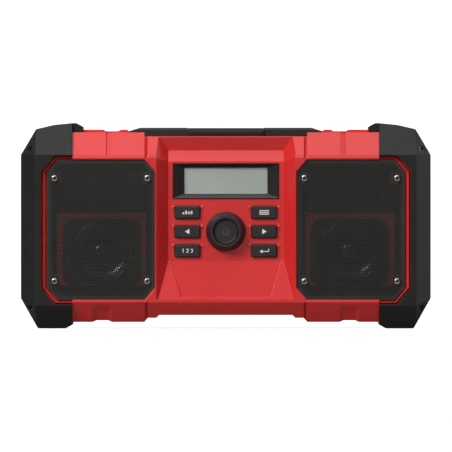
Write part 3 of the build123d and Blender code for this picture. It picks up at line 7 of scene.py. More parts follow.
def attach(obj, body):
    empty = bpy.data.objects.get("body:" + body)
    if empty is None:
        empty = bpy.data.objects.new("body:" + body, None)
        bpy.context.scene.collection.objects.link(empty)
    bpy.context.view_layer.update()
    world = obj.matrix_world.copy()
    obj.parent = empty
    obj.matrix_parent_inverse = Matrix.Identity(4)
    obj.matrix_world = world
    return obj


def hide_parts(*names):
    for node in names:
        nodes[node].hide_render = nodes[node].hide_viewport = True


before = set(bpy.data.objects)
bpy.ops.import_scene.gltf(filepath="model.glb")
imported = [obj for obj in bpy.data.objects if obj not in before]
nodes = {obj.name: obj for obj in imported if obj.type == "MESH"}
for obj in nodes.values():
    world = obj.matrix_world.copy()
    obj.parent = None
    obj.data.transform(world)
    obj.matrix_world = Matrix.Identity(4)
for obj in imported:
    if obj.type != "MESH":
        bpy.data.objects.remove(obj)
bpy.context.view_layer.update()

# ---------------------------------------------------------------- the two shells of the case
# The front and rear housings are injection moulded in red ABS, 3.2 mm thick, with a fine
# spark-eroded grain. They meet in a seam round the radio and long screws pull them together.

MM = 0.001

# Share of the fine grain in the colour, and the size in mm of the scuffs on worn edges
SPECK_SHARE, SCUFF_SIZE = 0.25, 9.0


def linear(hex_colour):
    """A colour written as sRGB hex, as the linear values that a shader takes."""
    parts = [int(hex_colour[i : i + 2], 16) / 255 for i in (1, 3, 5)]
    return [c / 12.92 if c <= 0.04045 else ((c + 0.055) / 1.055) ** 2.4 for c in parts] + [1.0]


def add(tree, kind, inputs=None, **settings):
    """Adds a shader node with its settings; an input is a value or another node's output."""
    made = tree.nodes.new("ShaderNode" + kind)
    for name, value in settings.items():
        setattr(made, name, value)
    for socket, value in (inputs or {}).items():
        if isinstance(value, bpy.types.NodeSocket):
            tree.links.new(value, made.inputs[socket])
        else:
            made.inputs[socket].default_value = value
    return made


def new_tree(name):
    """An empty material, and its node tree."""
    made = bpy.data.materials.new(name)
    made.use_nodes = True
    made.node_tree.nodes.clear()
    return made, made.node_tree


def moulding(
    name,
    dark,
    light,
    worn,
    roughness,
    grain=0.8,
    depth=0.02,
    patch=45.0,
    edge=0.5,
    wear=0.35,
    **shader,
):
    """A moulded or painted skin: cloudy colour, fine grain, rubbed edges. Sizes are in mm."""
    made, tree = new_tree(name)
    place = add(tree, "TexCoord").outputs["Object"]

    def clouds(size, detail):
        inputs = {"Vector": place, "Scale": 1 / (size * MM), "Detail": detail}
        return add(tree, "TexNoise", inputs).outputs["Fac"]

    patches = clouds(patch, 3.0)
    specks = clouds(grain, 1.0)
    tone = add(tree, "Math", {0: patches, 1: 1 - SPECK_SHARE}, operation="MULTIPLY").outputs[0]
    inputs = {0: specks, 1: SPECK_SHARE, 2: tone}
    tone = add(tree, "Math", inputs, operation="MULTIPLY_ADD").outputs[0]
    tone = add(tree, "MapRange", {"Value": tone, "From Min": 0.2, "From Max": 0.8}).outputs[0]
    colour = add(tree, "Mix", {0: tone, 6: linear(dark), 7: linear(light)}, data_type="RGBA")
    # Edges are where the rounded normal turns away from the flat one
    soft = add(tree, "Bevel", {"Radius": edge * MM}, samples=4).outputs["Normal"]
    flat = add(tree, "NewGeometry").outputs["Normal"]
    turn = add(tree, "VectorMath", {0: soft, 1: flat}, operation="DOT_PRODUCT").outputs["Value"]
    rim = add(tree, "MapRange", {"Value": turn, "From Min": 0.995, "From Max": 0.85}).outputs[0]
    scuff = clouds(SCUFF_SIZE, 4.0)
    scuff = add(tree, "MapRange", {"Value": scuff, "From Min": 0.42, "From Max": 0.62}).outputs[0]
    rub = add(tree, "Math", {0: rim, 1: scuff}, operation="MULTIPLY").outputs[0]
    rub = add(tree, "Math", {0: rub, 1: wear}, operation="MULTIPLY").outputs[0]
    inputs = {0: rub, 6: colour.outputs[2], 7: linear(worn)}
    colour = add(tree, "Mix", inputs, data_type="RGBA").outputs[2]
    span = {"From Min": 0.1, "From Max": 0.9}
    span.update({"To Min": roughness - 0.03, "To Max": roughness + 0.05})
    gloss = add(tree, "MapRange", {"Value": patches, **span}).outputs[0]
    inputs = {"Height": specks, "Distance": depth * MM, "Strength": 1.0, "Normal": soft}
    bump = add(tree, "Bump", inputs).outputs["Normal"]
    inputs = {"Base Color": colour, "Roughness": gloss, "Normal": bump, **shader}
    skin = add(tree, "BsdfPrincipled", inputs)
    add(tree, "OutputMaterial", {"Surface": skin.outputs[0]})
    return made


def dress(material, *names):
    """Gives CAD nodes their material."""
    for name in names:
        slots = nodes[name].data.materials
        slots.clear()
        slots.append(material)


# Spark-eroded ABS: a satin red with a soft sheen on what faces up
red_abs = moulding(
    "ABS, red, moulded with a spark-eroded grain",
    "#BC2322",
    "#C42726",
    "#E0686A",
    roughness=0.29,
    grain=0.9,
    depth=0.012,
    patch=70.0,
    edge=0.6,
    wear=0.3,
)
dress(red_abs, "front_housing", "rear_housing")

# ---------------------------------------------------------------- screws in the case
# Small pan head machine screws of bright zinc plated steel, cold headed with a hexagon
# socket: long ones close the shells, and short ones hold the handle's feet.


def bare_metal(name, dark, light, roughness, brush=(1.0, 1.0, 1.0), grain=0.6, edge=0.25):
    """A bare or plated metal with a drawn or tumbled grain; brush stretches the grain."""
    made, tree = new_tree(name)
    place = add(tree, "TexCoord").outputs["Object"]
    place = add(tree, "Mapping", {"Vector": place, "Scale": brush}).outputs[0]
    inputs = {"Vector": place, "Scale": 1 / (grain * MM), "Detail": 3.0}
    grain_map = add(tree, "TexNoise", inputs).outputs["Fac"]
    inputs = {0: grain_map, 6: linear(dark), 7: linear(light)}
    colour = add(tree, "Mix", inputs, data_type="RGBA").outputs[2]
    inputs = {"Value": grain_map, "To Min": roughness - 0.06, "To Max": roughness + 0.1}
    gloss = add(tree, "MapRange", inputs).outputs[0]
    soft = add(tree, "Bevel", {"Radius": edge * MM}, samples=4).outputs["Normal"]
    bump = add(tree, "Bump", {"Height": grain_map, "Distance": 0.01 * MM, "Normal": soft})
    inputs = {
        "Base Color": colour,
        "Roughness": gloss,
        "Metallic": 1.0,
        "Normal": bump.outputs["Normal"],
    }
    skin = add(tree, "BsdfPrincipled", inputs)
    add(tree, "OutputMaterial", {"Surface": skin.outputs[0]})
    return made


zinc = bare_metal("Steel, zinc plated, cold headed", "#B9B7B2", "#E2E0DA", roughness=0.28)
dress(zinc, "housing_screws")

# ---------------------------------------------------------------- end caps
# Thick black rubber boots stretched over both ends of the case: feet, bumpers and corners in
# one moulding of soft TPE, matt and a little dusty, each held by four screws in its bevels.

black_rubber = moulding(
    "TPE rubber, black, moulded matt",
    "#191A19",
    "#212221",
    "#454543",
    roughness=0.45,
    grain=0.7,
    depth=0.02,
    patch=30.0,
    edge=0.9,
    wear=0.5,
    **{"Specular IOR Level": 0.22},
)
dress(black_rubber, "left_end_cap", "right_end_cap")

# Oiled black oxide: the heads stay dark, with a glint round their rims
black_oxide = bare_metal(
    "Steel, black oxide, oiled", "#4A4947", "#6E6C69", roughness=0.24, edge=0.7
)
dress(black_oxide, "end_cap_screws")

# ---------------------------------------------------------------- loudspeakers
# Two 3 inch full range drivers: a pressed steel basket, painted black, a glossy moulded cone
# with a domed dust cap, a rolled butyl rubber surround and a ring magnet behind.


def piece(name, points, faces, material, body="case", smooth=True, sharp=0.6):
    """A mesh from points in mm, which rides on a CAD body."""
    mesh = bpy.data.meshes.new(name)
    mesh.from_pydata([Vector(p) * MM for p in points], [], faces)
    mesh.validate()
    mesh.update()
    mesh.materials.append(material)
    if smooth:
        mesh.polygons.foreach_set("use_smooth", [True] * len(mesh.polygons))
        mesh.set_sharp_from_angle(angle=sharp)
    made = bpy.data.objects.new(name, mesh)
    bpy.context.scene.collection.objects.link(made)
    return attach(made, body)


def lathe(name, profile, x, z, material, steps=72):
    """A closed profile of (radius, y) points turned about the Y direction through x, z."""
    points, rings = [], []
    for radius, y in profile:
        if radius == 0:
            rings.append([len(points)] * steps)
            points.append((x, y, z))
            continue
        rings.append(range(len(points), len(points) + steps))
        for step in range(steps):
            turn = math.tau * step / steps
            points.append((x + radius * math.cos(turn), y, z + radius * math.sin(turn)))
    faces = []
    for near, far in zip(rings, rings[1:] + rings[:1]):
        for step in range(steps):
            after = (step + 1) % steps
            corners = [near[step], near[after], far[after], far[step]]
            corners = list(dict.fromkeys(corners))
            if len(corners) > 2:
                faces.append(corners)
    return piece(name, points, faces, material)


def arc(centre, radius, start, end, steps):
    """Points on an arc, by angles in degrees, for a profile."""
    turns = [math.radians(start + (end - start) * i / steps) for i in range(steps + 1)]
    return [(centre[0] + radius * math.cos(t), centre[1] + radius * math.sin(t)) for t in turns]


black_steel = moulding(
    "Steel, pressed and painted black",
    "#151515",
    "#1E1E1E",
    "#55524E",
    roughness=0.35,
    grain=1.4,
    depth=0.01,
    edge=0.3,
    wear=0.4,
)
ferrite = moulding(
    "Ferrite, pressed and ground",
    "#2A2A2C",
    "#3A3A3D",
    "#5A5A5D",
    roughness=0.55,
    grain=0.6,
    depth=0.03,
    edge=0.3,
)
cone_skin = moulding(
    "Polypropylene cone, black, moulded glossy",
    "#121212",
    "#191919",
    "#2A2A2A",
    roughness=0.24,
    grain=2.0,
    depth=0.01,
    edge=0.2,
    wear=0.1,
    **{"Specular IOR Level": 1.0},
)
butyl = moulding(
    "Butyl rubber surround, black, moulded glossy",
    "#141414",
    "#1C1C1C",
    "#333333",
    roughness=0.22,
    grain=1.5,
    depth=0.01,
    edge=0.2,
    wear=0.1,
)

DRIVER_X, DRIVER_Z = 122.6, 75.5
FLANGE_Y = -82.0
# The roll's middle, radius and lands, and the thickness of the rubber
ROLL_MIDDLE, ROLL_RADIUS, RUBBER_THICK = 28.75, 2.75, 0.6
LAND_OUTER, LAND_INNER = 32.4, 24.8
# The cone from its rim to its neck, how deep it is and how far it bulges
CONE_RIM, CONE_SLOPE, CONE_DEEP, CONE_FLARE = 25.6, 15.1, 14.2, 3.0
CONE_STEPS, DOME_STEPS = 10, 8
# From the front of the cone's wall to its back: outward, and away from the listener
CONE_WALL_OUT, CONE_WALL_BACK = 0.3, 0.7
DOME_RADIUS, DOME_FOOT_Y, DOME_RISE = 10.4, -68.2, 5.2
# Back of the dome and the tube of the voice coil, as (radius, y)
COIL_TUBE = [(0, -66.8), (9.6, -64.0), (9.6, -49.4), (10.4, -49.4), (10.4, -65.9)]
for name, side in (("left", -1), ("right", 1)):
    x = side * DRIVER_X
    dress(black_steel, f"{name}_driver_basket", f"{name}_radiator_frame")
    dress(ferrite, f"{name}_driver_magnet")

    # Half roll with flat lands, glued on the basket's rim and on the cone
    land_y = FLANGE_Y - RUBBER_THICK
    profile = [(LAND_OUTER, FLANGE_Y), (LAND_OUTER, land_y)]
    profile += [(r, 2 * land_y - y) for r, y in arc((ROLL_MIDDLE, land_y), ROLL_RADIUS, 0, 180, 12)]
    profile += [(LAND_INNER, land_y), (LAND_INNER, FLANGE_Y)]
    surround = lathe(f"{name}_surround_roll", profile, x, DRIVER_Z, butyl)
    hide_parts(f"{name}_driver_surround")

    # Cone with a gentle flare, and the dome over the voice coil
    flare = []
    for step in range(CONE_STEPS + 1):
        t = step / CONE_STEPS
        bulge = CONE_FLARE * math.sin(math.pi * t)
        flare.append((CONE_RIM - CONE_SLOPE * t, FLANGE_Y + CONE_DEEP * t - bulge))
    dome = []
    for step in range(DOME_STEPS + 1):
        a = math.pi / 2 * step / DOME_STEPS
        dome.append((DOME_RADIUS * math.cos(a), DOME_FOOT_Y - DOME_RISE * math.sin(a)))
    dome[-1] = (0, dome[-1][1])
    back = [(r + CONE_WALL_OUT, y + CONE_WALL_BACK) for r, y in reversed(flare[:-1])]
    back = COIL_TUBE + back
    cone = lathe(f"{name}_cone_and_dome", flare + dome + back, x, DRIVER_Z, cone_skin)
    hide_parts(f"{name}_driver_cone")

# ---------------------------------------------------------------- passive radiators
# Above each driver a flat plate of filled polypropylene hangs in a rubber roll and moves
# with the air in the case. Its frame is screwed to the baffle.

radiator_skin = moulding(
    "Polypropylene plate, black, moulded matt",
    "#161616",
    "#1E1E1D",
    "#33312F",
    roughness=0.5,
    grain=1.2,
    depth=0.02,
    edge=0.8,
)
dress(radiator_skin, "left_passive_radiator", "right_passive_radiator")

# ---------------------------------------------------------------- grilles
# Each loudspeaker is behind a sheet of 0.7 mm steel, perforated in a staggered pattern and
# powder coated black, with a plain border. Four bright screws hold it in its recess. With
# the gasket behind it the sheet stands for the 1.2 mm of the CAD's grille.

# The real holes are about 2 mm apart; this is as fine as shows in the picture
HOLE_PITCH, HOLE_RADIUS, HOLE_SIDES = 2.4, 0.82, 8
FIRST_HOLE, FIELD_WIDE, FIELD_TALL = (71.0, 29.0), 108, 140
PLAIN_BORDER, SCREW_LAND = 2.2, 4.6
GRILLE_FRONT, GRILLE_BACK = -87.5, -86.8
GRILLE_EDGE = [
    (80.8, 28.5), (166.8, 28.5), (177.2, 40.5), (177.2, 155.0),
    (166.8, 167.0), (80.8, 167.0), (70.3, 155.0), (70.3, 40.5),
]
GRILLE_SCREWS = [(77.8, 46.7), (169.7, 46.7), (77.8, 148.8), (169.7, 148.8)]

powder_coat = moulding(
    "Steel, perforated and powder coated black",
    "#1E1F1D",
    "#272825",
    "#6A6862",
    roughness=0.4,
    grain=0.9,
    depth=0.02,
    edge=0.15,
    wear=0.35,
)


def inside(point, outline, border):
    """True where a point is at least the border inside a convex outline."""
    for near, far in zip(outline, outline[1:] + outline[:1]):
        along = Vector(far) - Vector(near)
        off = Vector(point) - Vector(near)
        if (along.x * off.y - along.y * off.x) / along.length < border:
            return False
    return True


def perforated_sheet(name, side):
    """The sheet with its holes, front and back faces, hole walls and rim."""
    centres = []
    rise = HOLE_PITCH * math.sqrt(3) / 2
    keep_off = SCREW_LAND + HOLE_RADIUS
    for row in range(int(FIELD_TALL / rise) + 1):
        for column in range(int(FIELD_WIDE / HOLE_PITCH) + 1):
            across = (column + 0.5 * (row % 2)) * HOLE_PITCH
            spot = (FIRST_HOLE[0] + across, FIRST_HOLE[1] + row * rise)
            clear = all(math.dist(spot, screw) > keep_off for screw in GRILLE_SCREWS)
            if clear and inside(spot, GRILLE_EDGE, PLAIN_BORDER + HOLE_RADIUS):
                centres.append(spot)
    corners = len(GRILLE_EDGE)
    flat = [Vector(p) for p in GRILLE_EDGE]
    loops = [list(range(corners))]
    for x, z in centres:
        loops.append(list(range(len(flat), len(flat) + HOLE_SIDES)))
        for corner in range(HOLE_SIDES):
            turn = math.tau * (corner + 0.5) / HOLE_SIDES
            off = (HOLE_RADIUS * math.cos(turn), HOLE_RADIUS * math.sin(turn))
            flat.append(Vector((x + off[0], z + off[1])))
    rims = [(a, b) for loop in loops for a, b in zip(loop, loop[1:] + loop[:1])]
    spots, _, triangles, origins, _, _ = geometry.delaunay_2d_cdt(flat, rims, [], 0, 1e-5)
    source = [o[0] for o in origins]
    # Which hole a point belongs to, or -1 for the outline: a hole's own triangles go
    owner = [-1 if s < corners else (s - corners) // HOLE_SIDES for s in source]
    kept = [t for t in triangles if len({owner[i] for i in t}) > 1 or owner[t[0]] < 0]
    place = {s: i for i, s in enumerate(source)}
    count = len(spots)
    points = [(side * p.x, GRILLE_FRONT, p.y) for p in spots]
    points += [(side * p.x, GRILLE_BACK, p.y) for p in spots]
    faces = [tuple(t) for t in kept] + [tuple(count + i for i in reversed(t)) for t in kept]
    for a, b in rims:
        a, b = place[a], place[b]
        faces.append((a, b, count + b, count + a))
    return piece(name, points, faces, powder_coat, sharp=0.9)


for name, side in (("left", -1), ("right", 1)):
    sheet = perforated_sheet(f"{name}_perforated_sheet", side)
    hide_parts(f"{name}_grille")

# Strips of black foam lie on the baffle, round the driver and round the radiator. They are painted
# shade: they darken the red baffle where the pocket behind the grille lies in shade.
# Black foam for the gasket below, and for the strips that paint the shade on the baffle
foam_and_shade = moulding(
    "Polyether foam, black, die cut",
    "#121212",
    "#1C1C1B",
    "#242422",
    roughness=0.85,
    grain=0.5,
    depth=0.15,
    edge=0.3,
    wear=0.1,
)
BAFFLE_Y, FOAM_THICK = -80.0, 1.4
for name, side in (("left", -1), ("right", 1)):
    for place, strip in (
        ("low", [(82.8, 33.6), (164.6, 33.6), (172.0, 42.2), (75.5, 42.2)]),
        ("high", [(75.5, 156.0), (172.0, 156.0), (168.0, 161.9), (79.4, 161.9)]),
        ("near", [(75.5, 118.4), (82.4, 118.4), (82.4, 143.0), (75.5, 143.0)]),
        ("far", [(162.8, 118.4), (172.0, 118.4), (172.0, 143.0), (162.8, 143.0)]),
        ("near_side", [(75.5, 52.0), (79.0, 52.0), (79.0, 118.4), (75.5, 118.4)]),
        ("far_side", [(167.4, 52.0), (172.0, 52.0), (172.0, 118.4), (167.4, 118.4)]),
        ("middle", [(79.0, 114.6), (167.4, 114.6), (167.4, 118.4), (79.0, 118.4)]),
    ):
        points = [(side * x, y, z) for y in (BAFFLE_Y, BAFFLE_Y - FOAM_THICK) for x, z in strip]
        faces = [(0, 1, 2, 3), (7, 6, 5, 4)]
        faces += [(i, (i + 1) % 4, (i + 1) % 4 + 4, i + 4) for i in range(4)]
        if side > 0:
            faces = [face[::-1] for face in faces]
        # Each strip is a painted shade over the red baffle
        shade_strip = piece(f"{name}_{place}_foam", points, faces, foam_and_shade, smooth=False)

# A thin gasket, punched from the same foam, lies behind the sheet's border. Its rims are
# the sheet's outline, drawn in to these shares of its size
LEDGE_Y, GASKET_FRONT, GASKET_BACK = -86.3, 0.3, 0.02
GASKET_OUTER, GASKET_INNER = 0.995, 0.915
for name, side in (("left", -1), ("right", 1)):
    middle = sum((Vector(corner) for corner in GRILLE_EDGE), Vector((0, 0))) / len(GRILLE_EDGE)
    points = []
    for y in (LEDGE_Y - GASKET_FRONT, LEDGE_Y - GASKET_BACK):
        for share in (GASKET_OUTER, GASKET_INNER):
            for x, z in GRILLE_EDGE:
                x, z = middle.x + share * (x - middle.x), middle.y + share * (z - middle.y)
                points.append((side * x, y, z))
    faces = []
    # Four rings of corners: front outer and inner, then back outer and inner
    count = len(GRILLE_EDGE)
    for i in range(count):
        j = (i + 1) % count
        front = [(k, k + count) for k in (i, j)]
        back = [(k + 2 * count, k + 3 * count) for k in (i, j)]
        faces += [(i, j, front[1][1], front[0][1]), (*back[0], back[1][1], back[1][0])]
        faces += [(i, back[0][0], back[1][0], j)]
        faces += [(front[0][1], front[1][1], back[1][1], back[0][1])]
    if side < 0:
        faces = [face[::-1] for face in faces]
    gasket = piece(f"{name}_gasket", points, faces, foam_and_shade, smooth=False)

dress(black_oxide, "grille_screws")

# Their heads are domed, plated bright and polished by the driver round a dark socket
bright_zinc = bare_metal(
    "Steel, zinc plated, polished head", "#A5A29E", "#DAD7D2", roughness=0.22
)
HEAD_FRONT, HEAD_RADIUS, SOCKET_RADIUS = -89.5, 3.3, 1.5
SOCKET_LIP, HEAD_ROUND, HEAD_DROP, HEAD_STEPS = 0.2, 1.6, 0.8, 8
# How far the socket's end lies behind the head's front plane and its mouth before it, and
# how far behind the plane the skirt begins and ends
SOCKET_END, SOCKET_MOUTH, SKIRT_START, SKIRT_END = 0.3, 0.75, 0.9, 1.2
for name, side in (("left", -1), ("right", 1)):
    for place, (x, z) in zip(("low_near", "low_far", "high_near", "high_far"), GRILLE_SCREWS):
        dome = [(SOCKET_RADIUS, HEAD_FRONT + SOCKET_END)]
        dome += [(SOCKET_RADIUS, HEAD_FRONT - SOCKET_MOUTH)]
        for step in range(HEAD_STEPS + 1):
            a = math.pi / 2 * step / HEAD_STEPS
            radius = SOCKET_RADIUS + SOCKET_LIP + HEAD_ROUND * math.sin(a)
            dome.append((radius, HEAD_FRONT - HEAD_ROUND * math.cos(a) + HEAD_DROP))
        dome += [(HEAD_RADIUS, HEAD_FRONT + SKIRT_START), (HEAD_RADIUS, HEAD_FRONT + SKIRT_END)]
        ring = lathe(f"{name}_{place}_head", dome, side * x, z, bright_zinc, steps=40)

# ---------------------------------------------------------------- display
# A black bezel with sloping sides frames the window; behind a clear polycarbonate lens
# lies a reflective LCD, blank, with the grey-green of its polariser.

black_abs = moulding(
    "ABS, black, moulded satin",
    "#191717",
    "#221F1F",
    "#504B4A",
    roughness=0.22,
    grain=0.8,
    depth=0.01,
    edge=0.4,
    wear=0.3,
)
dress(black_abs, "display_bezel")

lcd, tree = new_tree("LCD glass, grey-green polariser")
place = add(tree, "TexCoord").outputs["Object"]
CLOUD_SIZE = 30
inputs = {"Vector": place, "Scale": 1 / (CLOUD_SIZE * MM), "Detail": 1.0}
shade = add(tree, "TexNoise", inputs).outputs["Fac"]
inputs = {0: shade, 6: linear("#6E746F"), 7: linear("#7F847E")}
colour = add(tree, "Mix", inputs, data_type="RGBA")
skin = add(tree, "BsdfPrincipled", {"Base Color": colour.outputs[2], "Roughness": 0.35})
add(tree, "OutputMaterial", {"Surface": skin.outputs[0]})
dress(lcd, "lcd_panel")

lens, tree = new_tree("Polycarbonate lens, clear, hard coated")
place = add(tree, "TexCoord").outputs["Object"]
SMEAR_SIZE = 12
inputs = {"Vector": place, "Scale": 1 / (SMEAR_SIZE * MM), "Detail": 4.0}
haze = add(tree, "TexNoise", inputs).outputs["Fac"]
haze = add(tree, "MapRange", {"Value": haze, "To Min": 0.03, "To Max": 0.1}).outputs[0]
inputs = {"Base Color": linear("#F4F6F4"), "Roughness": haze, "IOR": 1.58}
inputs["Transmission Weight"] = 1.0
glass = add(tree, "BsdfPrincipled", inputs)
clear = add(tree, "BsdfTransparent")
path = add(tree, "LightPath")
inputs = {0: path.outputs["Is Shadow Ray"], 1: glass.outputs[0], 2: clear.outputs[0]}
shadow = add(tree, "MixShader", inputs)
add(tree, "OutputMaterial", {"Surface": shadow.outputs[0]})
dress(lens, "display_lens")

# ---------------------------------------------------------------- keys
# Six black keys of moulded ABS with bevelled rims, in two columns beside the knob. Each
# carries a white pad printed sign: bars, arrows or plain figures.

key_plastic = moulding(
    "ABS key, black, moulded satin",
    "#242021",
    "#2D2828",
    "#6B6464",
    roughness=0.34,
    grain=0.7,
    depth=0.01,
    edge=0.35,
    wear=0.35,
)
dress(
    key_plastic,
    "mode_button",
    "left_button",
    "preset_button",
    "menu_button",
    "right_button",
    "enter_button",
)

ink, tree = new_tree("Pad printing ink, white")
place = add(tree, "TexCoord").outputs["Object"]
PAD_GRAIN = 0.5
inputs = {"Vector": place, "Scale": 1 / (PAD_GRAIN * MM), "Detail": 2.0}
screen = add(tree, "TexNoise", inputs).outputs["Fac"]
inputs = {0: screen, 6: linear("#B4AFAD"), 7: linear("#E6E2E0")}
colour = add(tree, "Mix", inputs, data_type="RGBA")
skin = add(tree, "BsdfPrincipled", {"Base Color": colour.outputs[2], "Roughness": 0.5})
add(tree, "OutputMaterial", {"Surface": skin.outputs[0]})


def ribbon(line, width):
    """The outline of a stroke of even width along an open line."""
    line = [Vector(p) for p in line]
    left, right = [], []
    for i, point in enumerate(line):
        before = (point - line[i - 1]).normalized() if i else None
        after = (line[i + 1] - point).normalized() if i + 1 < len(line) else None
        along = ((before or after) + (after or before)).normalized()
        across = Vector((-along.y, along.x))
        leg = after or before
        reach = width / 2 / max(0.5, abs(across.dot(Vector((-leg.y, leg.x)))))
        left.append(point + across * reach)
        right.append(point - across * reach)
    return [tuple(p) for p in left + right[::-1]]


def bar(low, high):
    """A plain rectangle between two corners."""
    return [low, (high[0], low[1]), high, (low[0], high[1])]


def printed(name, shapes, x, y, z, material, body, film=0.06):
    """Flat shapes of ink, a film thick, on a face that looks along -Y."""
    points, faces = [], []
    for shape in shapes:
        start, count = len(points), len(shape)
        turned = sum(a[0] * b[1] - b[0] * a[1] for a, b in zip(shape, shape[1:] + shape[:1]))
        shape = shape if turned > 0 else shape[::-1]
        points += [(x + px, y - film, z + pz) for px, pz in shape]
        points += [(x + px, y + film, z + pz) for px, pz in shape]
        faces.append(tuple(range(start, start + count)))
        faces.append(tuple(range(start + 2 * count - 1, start + count - 1, -1)))
        for i in range(count):
            after = (i + 1) % count
            faces.append((start + i, start + count + i, start + count + after, start + after))
    return piece(name, points, faces, material, body, smooth=False)


KEY_FACE, STROKE, FIGURE_STEP = -79.2, 0.75, 4.2
arrow = [(-2.6, 0.0), (1.9, 2.6), (1.9, -2.6)]
one = [(-0.9, 0.9), (0.0, 1.7), (0.0, -1.8)]
two = [(-1.0, 1.0), (-0.5, 1.6), (0.5, 1.6), (1.0, 0.9), (0.8, 0.1), (-0.9, -1.5), (1.1, -1.5)]
three = [(-0.9, 1.3), (-0.3, 1.6), (0.6, 1.5), (0.9, 0.8), (0.5, 0.15)]
three += [(0.95, -0.5), (0.7, -1.3), (-0.2, -1.6), (-1.0, -1.2)]
figures = [
    [(px + shift, pz) for px, pz in ribbon(figure, STROKE)]
    for figure, shift in ((one, -FIGURE_STEP), (two, 0.0), (three, FIGURE_STEP))
]
back_step = ribbon([(4.4, 1.8), (4.4, -0.7), (-1.6, -0.7)], STROKE)
levels = [bar((-4.8, -1.8), (-3.2, 0.0)), bar((-2.1, -1.8), (-0.5, 1.8))]
levels += [bar((0.6, -1.8), (2.2, 0.8)), bar((3.3, -1.8), (4.9, 1.4))]
lines = [bar((-4.8, pz - 0.45), (4.8, pz + 0.45)) for pz in (-1.7, 0.0, 1.7)]
COLUMN, LOW_ROW, MIDDLE_ROW, HIGH_ROW = 38.0, 77.0, 96.0, 115.0
KEY_SIGNS = (
    ("mode", -COLUMN, HIGH_ROW, levels),
    ("left", -COLUMN, MIDDLE_ROW, [arrow]),
    ("preset", -COLUMN, LOW_ROW, figures),
    ("menu", COLUMN, HIGH_ROW, lines),
    ("right", COLUMN, MIDDLE_ROW, [[(-px, pz) for px, pz in arrow]]),
    ("enter", COLUMN, LOW_ROW, [back_step, [(-4.6, -0.7), (-1.6, 1.2), (-1.6, -2.6)]]),
)
for name, x, z, shapes in KEY_SIGNS:
    sign = printed(f"{name}_sign", shapes, x, KEY_FACE, z, ink, f"{name}_button")

# ---------------------------------------------------------------- knob and power button
# The volume knob is a turned-looking ring of black ABS whose flank slopes to a dished power
# button in its middle. A spring clip holds it on the panel, and it turns a rotary encoder.

knob_plastic = moulding(
    "ABS knob, black, moulded satin",
    "#1E1B1C",
    "#272324",
    "#5C5656",
    roughness=0.44,
    grain=0.9,
    depth=0.01,
    edge=0.45,
    wear=0.3,
)
dress(knob_plastic, "volume_knob", "power_button")
dress(zinc, "knob_clip")

grey_mark = moulding(
    "ABS mark, grey, moulded raised",
    "#4A4646",
    "#545050",
    "#6A6666",
    roughness=0.4,
    grain=0.6,
    depth=0.01,
    edge=0.1,
)
# An open ring with a bar in its gap, which stands a little proud of the button
POWER_FACE, MARK_RADIUS, MARK_STROKE = -86.15, 3.1, 0.8
ring = []
for degrees in range(38, 323, 15):
    a = math.radians(degrees)
    ring.append((MARK_RADIUS * math.sin(a), MARK_RADIUS * math.cos(a)))
mark = printed(
    "power_mark",
    [ribbon(ring, MARK_STROKE), bar((-0.4, 0.9), (0.4, 4.1))],
    0.0,
    POWER_FACE,
    MIDDLE_ROW,
    grey_mark,
    "power_button",
    film=0.25,
)

# ---------------------------------------------------------------- boards and electronics
# Glass fibre boards with a green solder mask carry the keys' switches, the encoder, the
# amplifier with its heat sink, capacitors and chips, and a ferrite rod for medium wave.

solder_mask, tree = new_tree("FR4 board, green solder mask over copper")
place = add(tree, "TexCoord").outputs["Object"]
upright = add(tree, "Mapping", {"Vector": place, "Rotation": (math.pi / 2, 0, 0)})
TRACK_PITCH = 2.5
grid = add(
    tree,
    "TexBrick",
    {
        "Vector": upright.outputs[0],
        "Color1": linear("#0F5A33"),
        "Color2": linear("#147041"),
        "Mortar": linear("#0A3F24"),
        "Scale": 1 / (TRACK_PITCH * MM),
        "Mortar Size": 0.03,
    },
)
skin = add(tree, "BsdfPrincipled", {"Base Color": grid.outputs["Color"], "Roughness": 0.3})
add(tree, "OutputMaterial", {"Surface": skin.outputs[0]})
dress(solder_mask, "control_board", "main_board")

black_epoxy = moulding(
    "Epoxy moulding compound, black",
    "#141414",
    "#1F1F1F",
    "#3A3A3A",
    roughness=0.5,
    grain=0.4,
    depth=0.02,
    edge=0.2,
)
dress(black_epoxy, "board_components", "tact_switches", "volume_encoder")
aluminium = bare_metal(
    "Aluminium, extruded and anodised clear",
    "#B4B6B8",
    "#D2D4D6",
    roughness=0.35,
    brush=(1.0, 1.0, 0.05),
)
dress(aluminium, "heat_sink")
dress(ferrite, "ferrite_rod")
copper = bare_metal(
    "Copper wire, enamelled and wound",
    "#8A4A24",
    "#B8683A",
    roughness=0.3,
    brush=(1.0, 0.1, 0.1),
    grain=0.4,
)
dress(copper, "ferrite_coil")

# ---------------------------------------------------------------- mains transformer
# Left of the battery bay a small mains transformer stands on the back wall: an E and I core
# of stacked steel sheets round a coil of enamelled copper.

laminations, tree = new_tree("Silicon steel, stamped sheets, varnished")
place = add(tree, "TexCoord").outputs["Object"]
# A wave texture has 20 bands to the unit that its scale is written for
SHEET_PITCH, WAVE_BANDS = 0.5, 20
inputs = {"Vector": place, "Scale": 1 / (SHEET_PITCH * WAVE_BANDS * MM), "Distortion": 0.2}
stack = add(tree, "TexWave", inputs, bands_direction="Y").outputs["Fac"]
inputs = {0: stack, 6: linear("#3A3634"), 7: linear("#5C5753")}
colour = add(tree, "Mix", inputs, data_type="RGBA")
bump = add(tree, "Bump", {"Height": stack, "Distance": 0.05 * MM}).outputs["Normal"]
inputs = {"Base Color": colour.outputs[2], "Roughness": 0.4, "Metallic": 0.6, "Normal": bump}
skin = add(tree, "BsdfPrincipled", inputs)
add(tree, "OutputMaterial", {"Surface": skin.outputs[0]})
dress(laminations, "transformer_core")
dress(copper, "transformer_coil")

# ---------------------------------------------------------------- carrying handle
# A flat bar of glass filled nylon bridges the hand well on two feet, screwed down to the
# case. Its middle is a sleeve of softer, darker rubber.

